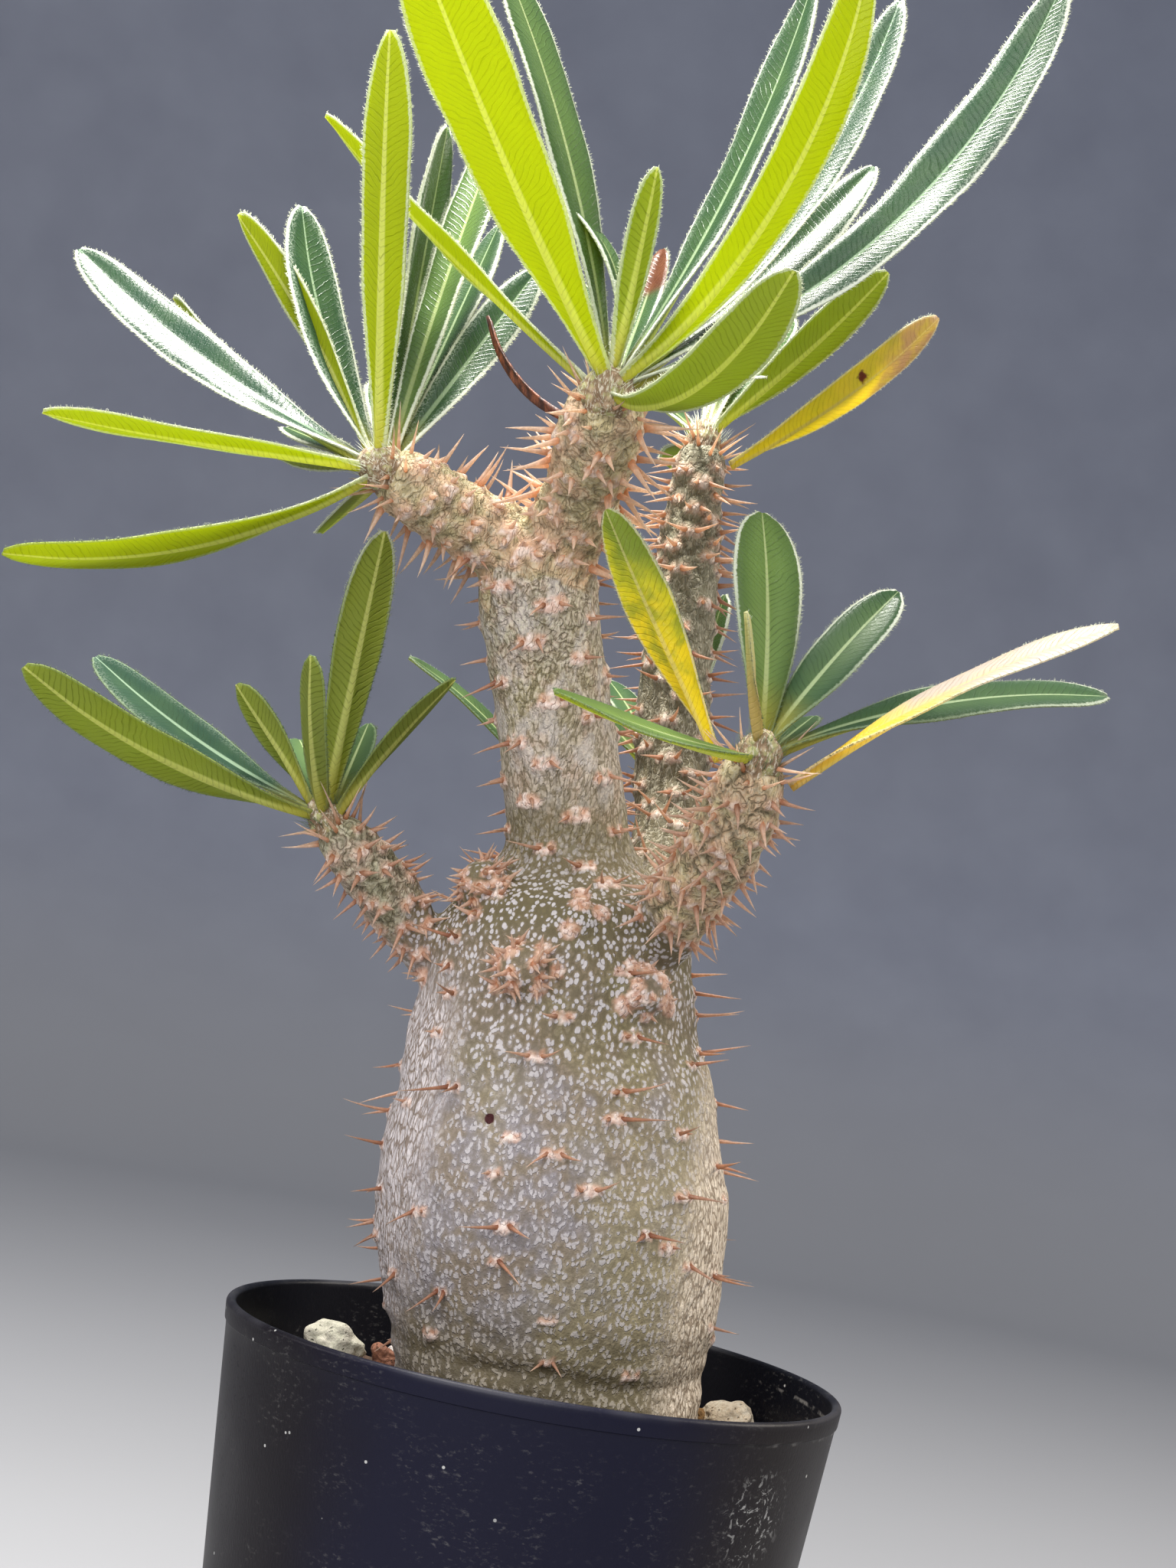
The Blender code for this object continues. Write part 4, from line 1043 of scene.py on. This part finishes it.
def read_vectors(collection, name):
    values = np.empty(len(collection) * 3)
    collection.foreach_get(name, values)
    return values.reshape(-1, 3)


def youth_of(places):
    """0 on the swollen stem's bark, and 1 on the bark of the stems that grow from it."""
    stem = np.array(MAIN_STEM)
    x, y, radius = (np.interp(places[:, 2], stem[:, 2], stem[:, k]) for k in (0, 1, 3))
    outside = np.hypot(places[:, 0] - x, places[:, 1] - y) - radius
    return np.maximum(smooth_step(places[:, 2], *YOUNG_BARK), smooth_step(outside, 3.5, 8.0))


def cushion_marks(point, cushion, young):
    """How high the cushion is here, and from 0 to 1 whether this is on its pad and on its scar."""
    zone = cushion.zone
    off = (point - cushion.point) / cushion.size
    along = off.dot(cushion.way)
    across = (off - cushion.way * along).length
    reach = math.hypot(across / 1.25, along / (1.4 if along < 0 else 0.9))
    high = zone.swell * cushion.size / zone.size * math.exp(-1.1 * reach * reach)
    ragged = noise.noise(point / 0.7) * 0.22 + noise.noise(point / 1.6) * 0.3 * young
    wide = 1.2 if zone.fresh > 0.25 else 0.7
    pad = 1 - smooth_step(math.hypot(across - 0.75, along - 0.1) / wide + ragged, 0.55, 1.0)
    middle = math.hypot(across, (along + 0.3) / 0.85) / 0.62
    lobe = math.hypot(across - 0.95, along + 0.25) / 0.42
    dot = math.hypot(across, along - 0.55) / 0.3
    scar = 1 - smooth_step(min(middle, lobe, dot) + ragged, 0.7, 0.95)
    return high + 0.25 * scar, pad, scar


def bark_relief(point, young, crease, pit):
    """How far the bark is pushed out by its unevenness, creases and rings, and in by the pit."""
    uneven = noise.noise(point / 9.0) * 0.5 + noise.noise(point / 3.0 + Vector((7, 3, 1))) * 0.22
    tall = noise.noise(Vector((point.x / 1.3, point.y / 1.3, point.z / 5.0)))
    rings = math.sin(point.z * 1.25 + noise.noise(point / 12.0) * 3.0)
    rings *= smooth_step(point.z, *RINGED_BARK) * (1 - young)
    in_pit = 1 - smooth_step((point - pit).length, 0.2, PIT_RADIUS * 1.3)
    return uneven * (0.9 - 0.4 * young) + 0.16 * tall - 0.35 * crease + 0.16 * rings - PIT_DEPTH * in_pit


def add_relief(obj, cushions, pit):
    """Raises the cushions, sinks the creases between them and gives the bark its unevenness."""
    mesh = obj.data
    places = read_vectors(mesh.vertices, "co") / MM
    normals = read_vectors(mesh.vertex_normals, "vector")
    tree = KDTree(len(cushions))
    for i, cushion in enumerate(cushions):
        tree.insert(cushion.point, i)
    tree.balance()
    youth, push = youth_of(places), np.zeros((len(places), 1))
    names = ("pad", "scar", "crease", "tight", "folded", "from_cushion")
    marks = np.zeros((len(places), len(names)))
    for v, (point, young) in enumerate(zip(map(Vector, places), youth)):
        (_, nearest, first), (_, _, second) = tree.find_n(point, 2)
        cushion = cushions[nearest]
        high, pad, scar = cushion_marks(point, cushion, young)
        tight = smooth_step(cushion.zone.spacing, 6.5, 4.5) * young
        apart = second - first + noise.noise(point / 1.5) * 0.5
        crease = tight * (1 - smooth_step(apart, 0.0, 0.5)) * smooth_step(first, 1.0, 1.8)
        folded = max(tight, young * smooth_step(point.z, *FOLDED_BARK))
        folded *= smooth_step(first, cushion.size, cushion.size + 0.6)
        marks[v] = pad, scar, crease, tight, folded, first
        push[v] = high + bark_relief(point, young, crease, pit)
    mesh.vertices.foreach_set("co", ((places + normals * push) * MM).ravel())
    for name, values in zip((*names, "young"), (*marks.T, youth)):
        write_values(mesh, name, values)
    mesh.update()
    mesh.shade_smooth()


def add_spine(shape, foot, grows, bend, length, radius, fresh):
    """A thorn with a swollen foot, tapering along a slight bend."""
    outs = all_round(grows, SPINE_SIDES)
    points = [
        foot + grows * (length * share - SPINE_SUNK) + bend * (length * share**2) + out * radius * thick
        for share, thick in SPINE_PROFILE for out in outs
    ]
    along = np.repeat([share for share, _ in SPINE_PROFILE], SPINE_SIDES)
    shape.add(points, loft_faces(len(SPINE_PROFILE), SPINE_SIDES), along=along, fresh=fresh)


def make_spines(cushions, draw):
    """A pair of spines on every cushion, spreading to its two sides."""
    shape = Shape()
    old_feet = [old_leaf_foot(old) for old in OLD_LEAVES.values()]
    for cushion in cushions:
        zone = cushion.zone
        side = cushion.out.cross(cushion.way).normalized()
        way = side.cross(cushion.out)
        crown = cushion.point + cushion.out * zone.swell * 0.5
        hidden = zone.fresh > 0.6 and cushion.out.y < -0.35
        near_leaf = any((cushion.point - foot).length < SPINE_CLEAR_OF_LEAF for foot in old_feet)
        fresh = min(1.0, max(0.0, zone.fresh + draw.uniform(-0.15, 0.3)))
        for hand in (-1, 1):
            length = draw.uniform(*zone.spine)
            if draw.random() < zone.broken:
                length *= draw.uniform(0.15, 0.4)
            if near_leaf or hidden:
                length *= WORN_SPINE
            lean = math.radians(draw.uniform(*SPINE_LEAN)) * hand
            lift = draw.uniform(-0.42, 0.05)
            grows = (cushion.out * math.cos(lean) + side * math.sin(lean) + way * lift).normalized()
            bend = way * draw.uniform(-0.08, 0.14) - side * hand * draw.uniform(0, 0.12)
            foot = crown + side * hand * SPINE_APART * cushion.size
            radius = SPINE_RADIUS * draw.uniform(0.85, 1.1) * (0.88 + 0.6 * zone.fresh)
            add_spine(shape, foot, grows, bend, length, radius, fresh)
    shape.piece("trunk_spines", [spine_look()], "bark", "trunk")


def make_trunk():
    draw = random.Random(SEED)
    bark = stem_solid()
    surface = BVHTree.FromPolygons(
        [v.co for v in bark.data.vertices], [tuple(p.vertices) for p in bark.data.polygons]
    )
    cushions = [cushion for zone in ZONES for cushion in cushions_of(zone, surface, draw)]
    axis = Vector((MAIN_STEM[7][0], 0, PIT_AIM[2]))
    pit = surface.ray_cast(axis * MM, (Vector(PIT_AIM) - axis).normalized())[0] / MM
    cushions = [cushion for cushion in cushions if (cushion.point - pit).length > 4 * PIT_RADIUS]
    add_relief(bark, cushions, pit)
    bark.data.materials.clear()
    bark.data.materials.append(bark_look(pit + (axis - pit).normalized() * PIT_DEPTH * 0.6))
    place(bark, "bark", "trunk")
    make_spines(cushions, draw)


def leaf_width(share, width):
    """The blade's full width at this share of its length: narrow foot, widest past the middle, round tip."""
    if share < WIDEST_AT:
        swell = math.sin(math.pi / 2 * share / WIDEST_AT) ** 1.2
        return width * (FOOT_WIDTH + (1 - FOOT_WIDTH) * swell)
    past = (share - WIDEST_AT) / (1 - WIDEST_AT)
    return width * max(math.sqrt(1 - past**2.3), TIP_WIDTH)


def leaf_rows(leaf, foot):
    """Rows of place, side and face along the leaf, foot to tip, as its solid has them."""
    stations = min(BLADE_STATIONS[1], max(BLADE_STATIONS[0], round(leaf.length / BLADE_STATION_SPACING) + 1))
    level = direction(leaf.azimuth + 90, 0)
    point, rows = Vector(foot), []
    for i in range(stations):
        share = i / (stations - 1)
        along = direction(leaf.azimuth, leaf.rise + leaf.bend * share)
        face = along.cross(level)
        roll = math.radians(leaf.roll) * min(1, share / ROLLED_AT)
        side = level * math.cos(roll) + face * math.sin(roll)
        up = face * math.cos(roll) - level * math.sin(roll)
        rows.append((*point, *side, *up))
        point += along * leaf.length / (stations - 1)
    return rows


def add_leaf(shape, hairs, leaf, foot, draw):
    """A closed blade with a grooved upper face, a raised rib below, curled margins and hairs on them."""
    shares, rows = smoothed(leaf_rows(leaf, foot), LEAF_STEP)
    at, side, up = rows[:, :3], unit(rows[:, 3:6]), unit(rows[:, 6:])
    along, phase = shares * leaf.length, draw.uniform(0, math.tau)
    ripple = 1 + 0.014 * np.sin(along / 4.1 + phase) + 0.008 * np.sin(along / 1.7)
    half = (np.array([leaf_width(share, leaf.width) / 2 for share in shares]) * ripple)[:, None]
    over = np.sin(np.pi / 2 * np.linspace(-1, 1, LEAF_ACROSS + 1))
    across = np.concatenate([over, over[-2:0:-1]])
    above = np.repeat([1.0, -1.0], [LEAF_ACROSS + 1, LEAF_ACROSS - 1])
    x, taper = half * across, (1.25 - shares)[:, None]
    channel = LEAF_CHANNEL * half * (np.sqrt(across**2 + 0.03) - 0.17)
    curl = LEAF_CURL * half * smooth_step(np.abs(across), 0.72, 1.0) ** 2
    wave = LEAF_WAVE * half * np.sin(along / 4.3 + phase)[:, None] * across**3
    body = LEAF_THICKNESS / 2 * (1 - 0.5 * across**2) * above
    groove = GROOVE_DEPTH * np.exp(-((x / GROOVE_WIDTH) ** 2)) * (above > 0)
    rib = RIB_DEPTH * taper * np.exp(-((x / (RIB_WIDTH * taper)) ** 2)) * (above < 0)
    rise = channel - curl + wave + body - groove - rib
    points = at[:, None] + side[:, None] * x[..., None] + up[:, None] * rise[..., None]
    ring = len(across)
    slots = ([0] * LEAF_ACROSS + [1] * LEAF_ACROSS) * (len(shares) - 1) + [0, 0]
    dry = smooth_step(shares, 1 - leaf.dry - 0.04, 1 - leaf.dry + 0.04) if leaf.dry else 0 * shares
    shape.add(
        points, loft_faces(len(shares), ring), slots, along=np.repeat(along, ring), across=x.ravel(),
        inset=(half * (1 - np.abs(across))).ravel(), off_rib=(np.abs(x) / taper).ravel(),
        tone=min(1, max(0, leaf.tone + draw.uniform(-0.05, 0.05))), dry=np.repeat(dry, ring),
        faded=leaf.faded,
    )
    for hand, margin in ((-1, 0), (1, LEAF_ACROSS)):
        add_margin_hairs(hairs, points[:, margin], side * hand, up, along, draw)


def add_margin_hairs(hairs, margin, out, up, along, draw):
    """Short hairs along one margin, combed outwards and towards the tip."""
    count = int(along[-1] / HAIR_SPACING)
    where = np.sort([draw.uniform(0.06, 1.0) * along[-1] for _ in range(count)])
    feet, outward, upward, forward = (
        np.stack([np.interp(where, along, column) for column in rows.T], axis=1)
        for rows in (margin, out, up, unit(np.gradient(margin, axis=0)))
    )
    spread = np.array([
        [draw.uniform(0.5, 1), draw.uniform(-0.55, 0.55), draw.uniform(0, 0.8)] for _ in where
    ])
    length = np.array([draw.uniform(*HAIR_LENGTH) for _ in where])[:, None]
    grows = unit(outward * spread[:, :1] + upward * spread[:, 1:2] + forward * spread[:, 2:])
    add_hairs(hairs, feet - grows * 0.08, feet + grows * length, HAIR_RADIUS)


def add_core(shape, route, draw):
    """The growing point of a branch: a short scaly cone between the leaf feet."""
    tip, way, radius = tip_of(route)
    seat, points = tip + way * GAP, []
    fine = smoothed([(rise, 0, 0, share * radius) for rise, share in CORE_PROFILE], CORE_STEP)[1]
    for rise, _, _, wide in fine:
        for k, out in enumerate(all_round(way, CORE_SIDES)):
            ridges = 0.09 * math.sin(CORE_RIDGES * math.tau * k / CORE_SIDES + 1.5 * rise)
            points.append(seat + way * rise + out * wide * (1 + ridges + draw.uniform(-0.03, 0.03)))
    blank = dict.fromkeys(("along", "across", "inset", "off_rib", "tone", "dry", "faded"), 0.0)
    shape.add(points, loft_faces(len(fine), CORE_SIDES), 2, **blank)


def add_crown_hairs(hairs, route, draw):
    """Fine pale hairs between the leaf feet at a branch's tip."""
    tip, way, radius = tip_of(route)
    side = side_of(way)
    feet, tips = [], []
    for _ in range(CROWN_HAIRS):
        turn, out = draw.uniform(0, math.tau), draw.uniform(0.2, 0.75)
        spoke = turned_about(way, side, turn)
        foot = tip + way * (GAP + (1 - out) * 6) + spoke * radius * out
        grows = (way + spoke * draw.uniform(0.1, 0.9) + side * draw.uniform(-0.3, 0.3)).normalized()
        feet.append(foot)
        tips.append(foot + grows * draw.uniform(*CROWN_HAIR_LENGTH))
    add_hairs(hairs, np.array(feet), np.array(tips), CROWN_HAIR_RADIUS)


def make_crown_spines(draw):
    """Fresh spines that lean out between the leaf feet of every head."""
    for name, (route, _) in HEADS.items():
        shape = Shape()
        tip, way, radius = tip_of(route)
        for i in range(CROWN_SPINES):
            spoke = turned_about(way, side_of(way), i * GOLDEN_ANGLE)
            rise = draw.uniform(-0.5, 3.0)
            foot = tip + way * rise + spoke * radius * (0.92 - 0.09 * rise)
            grows = (way * draw.uniform(0.25, 1.1) + spoke).normalized()
            length = draw.uniform(*CROWN_SPINE)
            bend = way * draw.uniform(-0.1, 0.2)
            add_spine(shape, foot, grows, bend, length, CROWN_SPINE_RADIUS, draw.uniform(0.6, 1.0))
        shape.piece(name + "_spines", [bpy.data.materials["spines"]], "bark", name)


def make_heads():
    draw = random.Random(SEED + 1)
    looks, hair = [leaf_look(True), leaf_look(False), crown_look()], hair_look()
    for name, (route, leaves) in HEADS.items():
        tip, way, radius = tip_of(route)
        shape, hairs = Shape(), Shape()
        add_core(shape, route, draw)
        add_crown_hairs(hairs, route, draw)
        for leaf in leaves:
            add_leaf(shape, hairs, leaf, leaf_foot(leaf, tip + way * GAP, way, radius), draw)
        shape.piece(name + "_blades", looks, "leaf_green", name)
        hairs.piece(name + "_hairs", [hair], "leaf_green", name)
    make_crown_spines(draw)


def make_old_leaves():
    draw = random.Random(SEED + 2)
    for name, old in OLD_LEAVES.items():
        shape, hairs = Shape(), Shape()
        add_leaf(shape, hairs, old.leaf, old_leaf_foot(old), draw)
        look = old_leaf_look(old.fading) if old.fading else dry_leaf_look()
        slot = "leaf_yellow" if old.fading else "leaf_dry"
        shape.piece(name + "_blade", [look] * 2, slot, name)
        if old.fading:
            hairs.piece(name + "_hairs", [bpy.data.materials["leaf_hairs"]], slot, name)


def pot_radius(height):
    return POT_RIM_DIAMETER / 2 - (POT_HEIGHT - height) * math.tan(POT_TAPER)


def lathed(name, profile, segments):
    """An object in the scene, made by turning a profile of radius and height about the upright axis."""
    mesh = bpy.data.meshes.new(name)
    points = [(radius * MM, 0, height * MM) for radius, height in profile]
    mesh.from_pydata(points, [(i, i + 1) for i in range(len(points) - 1)], [])
    obj = linked(name, mesh)
    screw = obj.modifiers.new("Turn", "SCREW")
    screw.steps = screw.render_steps = segments
    screw.use_merge_vertices = True
    screw.merge_threshold = 0.01 * MM
    return obj


def arc(centre, radius, start, end, steps):
    """Points on a round corner, as radius and height, with its angles in degrees."""
    for i in range(steps + 1):
        turn = math.radians(start + (end - start) * i / steps)
        yield centre[0] + radius * math.cos(turn), centre[1] + radius * math.sin(turn)


def drain_cutters():
    """A collection of upright cylinders, where the holes in the pot's floor are."""
    cutters = bpy.data.collections.new("drain_cutters")
    for i in range(DRAIN_HOLES):
        turn = math.tau * i / DRAIN_HOLES
        centre = (DRAIN_CIRCLE_RADIUS * math.cos(turn), DRAIN_CIRCLE_RADIUS * math.sin(turn), POT_FLOOR / 2)
        hole = bmesh.new()
        bmesh.ops.create_cone(
            hole, cap_ends=True, segments=32, radius1=DRAIN_HOLE_RADIUS * MM, radius2=DRAIN_HOLE_RADIUS * MM,
            depth=3 * POT_FLOOR * MM, matrix=Matrix.Translation([length * MM for length in centre]),
        )
        mesh = bpy.data.meshes.new("drain_hole")
        hole.to_mesh(mesh)
        hole.free()
        cutters.objects.link(bpy.data.objects.new("drain_hole", mesh))
    bpy.context.scene.collection.children.link(cutters)
    return cutters


def make_pot():
    """The same pot as the solid, with a rounded lip, a fine step under it and round corners."""
    inner = POT_WALL / math.cos(POT_TAPER)
    band, lip = POT_HEIGHT - LIP_BAND, POT_WALL / 2
    pot = lathed("pot_shell", [
        (0, POT_FLOOR),
        *arc((pot_radius(POT_FLOOR) - inner - POT_CORNER, POT_FLOOR + POT_CORNER), POT_CORNER, -90, 0, 6),
        *arc((pot_radius(POT_HEIGHT - lip) - inner + lip, POT_HEIGHT - lip), lip, 180, 0, 14),
        (pot_radius(band + LIP_STEP), band + LIP_STEP),
        (pot_radius(band) - LIP_STEP * 0.8, band + LIP_STEP * 0.4),
        (pot_radius(band) - LIP_STEP, band - LIP_STEP * 0.4),
        (pot_radius(band - 2.0) - LIP_STEP, band - 2.0),
        (pot_radius(POT_FOOT_RISE + 1) - LIP_STEP, POT_FOOT_RISE + 1),
        *arc((pot_radius(0) - LIP_STEP - POT_CORNER, POT_CORNER), POT_CORNER, 0, -90, 6),
        (0, 0),
    ], POT_SEGMENTS)
    cutters = drain_cutters()
    cut = pot.modifiers.new("Drain", "BOOLEAN")
    cut.operand_type = "COLLECTION"
    cut.collection = cutters
    apply_modifiers(pot)
    for obj in list(cutters.objects):
        bpy.data.objects.remove(obj)
    bpy.data.collections.remove(cutters)
    pot.data.materials.clear()
    pot.data.materials.append(pot_look())
    pot.data.shade_smooth()
    pot.data.set_sharp_from_angle(angle=SHARP_EDGE)
    place(pot, "pot_plastic", "pot")


def pebble(draw, detail, roughness, lumps):
    """An uneven unit stone's points and faces."""
    shape = bmesh.new()
    bmesh.ops.create_icosphere(shape, subdivisions=detail, radius=0.5)
    seed = Vector((draw.uniform(0, 99), draw.uniform(0, 99), draw.uniform(0, 99)))
    points = []
    for vert in shape.verts:
        lump = noise.noise(vert.co * lumps + seed) + noise.noise(vert.co * 2.5 * lumps + seed) * 0.4
        points.append(vert.co * (1 + lump * roughness))
    faces = [tuple(v.index for v in face.verts) for face in shape.faces]
    shape.free()
    return np.array(points), faces


def soil_surface(inner):
    """The points and faces of the bed under the grains: an uneven top, a side and a flat underside."""
    points = []
    for r in range(SOIL_RINGS + 1):
        for k in range(SOIL_SPOKES):
            turn, reach = math.tau * k / SOIL_SPOKES, inner * r / SOIL_RINGS
            x, y = reach * math.cos(turn), reach * math.sin(turn)
            lump = noise.noise(Vector((x / 4, y / 4, 1.0))) * 0.7 + noise.noise(Vector((x, y, 5.0))) * 0.25
            points.append((x, y, SOIL_TOP + min(0.25, lump) - 0.4))
    points += [(x, y, SOIL_TOP - SOIL_DEPTH) for x, y, _ in points[-SOIL_SPOKES:]]
    return points, loft_faces(SOIL_RINGS + 2, SOIL_SPOKES)


def is_covered(x, y, size):
    """Whether a grain would lie in the stem or under a stone."""
    foot_x, _, _, foot_radius = MAIN_STEM[2]
    return math.hypot(x - foot_x, y) < foot_radius + 0.2 * size or any(
        math.hypot(x - stone.x, y - stone.y) < 0.36 * (stone.long + stone.deep) / 2
        for stone in STONES.values()
    )


def make_soil():
    """A rough bed with loose grains all over it, round the stem and up to the wall."""
    draw = random.Random(SEED + 3)
    inner = pot_radius(SOIL_TOP) - POT_WALL - GAP - 0.2
    bed = Shape()
    bed.add(*soil_surface(inner), kind=0.2)
    for i in range(GRAIN_PLACES):
        reach = math.sqrt((i + 0.5) / GRAIN_PLACES) * (inner - 0.9)
        turn = i * GOLDEN_ANGLE + draw.uniform(-0.03, 0.03)
        x, y = reach * math.cos(turn), reach * math.sin(turn)
        size = draw.choice(GRAIN_SIZES) * draw.uniform(0.8, 1.15)
        if is_covered(x, y, size):
            continue
        points, faces = pebble(draw, *GRAIN_FORM)
        spin = draw.uniform(0, math.tau)
        spin = Matrix.Rotation(spin, 3, direction(draw.uniform(0, 360), draw.uniform(-90, 90)))
        points = points @ np.array(spin) * size * (1, draw.uniform(0.7, 1), draw.uniform(0.6, 0.9))
        drawn_in = min(1.0, (inner - 0.5 * size) / max(reach, 0.1))
        points += (x * drawn_in, y * drawn_in, SOIL_TOP - 0.1 * size + draw.uniform(-0.3, 0.2))
        bed.add(points, faces, kind=draw.random())
    bed.piece("soil_bed", [grain_look()], "soil_grains", "soil")


def make_stones():
    draw = random.Random(SEED + 4)
    for name, stone in STONES.items():
        points, faces = pebble(draw, *STONE_FORM)
        points[:, 2] = np.maximum(points[:, 2] + STONE_FLAT, 0) / (0.5 + STONE_FLAT)
        points[:, 2] *= 0.86 - STONE_SLOPE * points[:, 0]
        turned = Matrix.Rotation(math.radians(stone.turn), 3, "Z")
        points = points * (stone.long, stone.deep, stone.high) @ np.array(turned).T
        shape = Shape()
        shape.add(points + (stone.x, stone.y, SOIL_TOP + GAP), faces)
        shape.piece(name + "_rough", [stone_look(name + "_look", *stone.colours)], stone.slot, name)


def make_stage():
    """A pale paper floor that curves up into a wall all round."""
    bend = arc((STAGE_FLOOR, STAGE_BEND), STAGE_BEND, -90, 0, 24)
    stage = lathed("stage", [(0, 0), *bend, (STAGE_FLOOR + STAGE_BEND, STAGE_WALL)], STAGE_SEGMENTS)
    stage.data.materials.append(stage_look())
    stage.location.z = -STAGE_UNDER_POT * MM


def make_lights():
    """Soft round lights that face the middle of the plant, and a pale blue sky."""
    for name, (azimuth, rise, distance, size, power, colour) in LIGHTS.items():
        lamp = bpy.data.lights.new(name, "AREA")
        lamp.shape = "DISK"
        lamp.size = size * MM
        lamp.energy = power
        lamp.color = colour
        obj = linked(name, lamp)
        way = direction(azimuth, rise)
        obj.location = (Vector(PLANT_MIDDLE) + way * distance) * MM
        obj.rotation_mode = "QUATERNION"
        obj.rotation_quaternion = way.to_track_quat("Z", "Y")
    world = bpy.data.worlds.new("studio")
    world.use_nodes = True
    sky = world.node_tree.nodes["Background"]
    sky.inputs["Color"].default_value = SKY_COLOUR
    sky.inputs["Strength"].default_value = SKY_STRENGTH
    bpy.context.scene.world = world
    bpy.context.scene.view_settings.view_transform = "Standard"


def make_camera():
    lens = bpy.data.cameras.new("camera")
    lens.lens = FOCAL_PIXELS * SENSOR / PHOTO_HEIGHT
    lens.sensor_width = SENSOR
    camera = linked("camera", lens)
    right = Vector((1, 0, 0))
    ahead = Vector((0, math.cos(CAMERA_RISE), math.sin(CAMERA_RISE)))
    axes = [turned_about(-ahead, axis, CAMERA_ROLL) for axis in (right, right.cross(ahead))]
    turned = Matrix((*axes, -ahead)).transposed().to_4x4()
    camera.matrix_world = Matrix.Translation(Vector(CAMERA_AT) * MM) @ turned
    bpy.context.scene.camera = camera


def main():
    make_camera()
    make_lights()
    make_stage()
    make_pot()
    make_soil()
    make_stones()
    make_trunk()
    make_heads()
    make_old_leaves()


main()
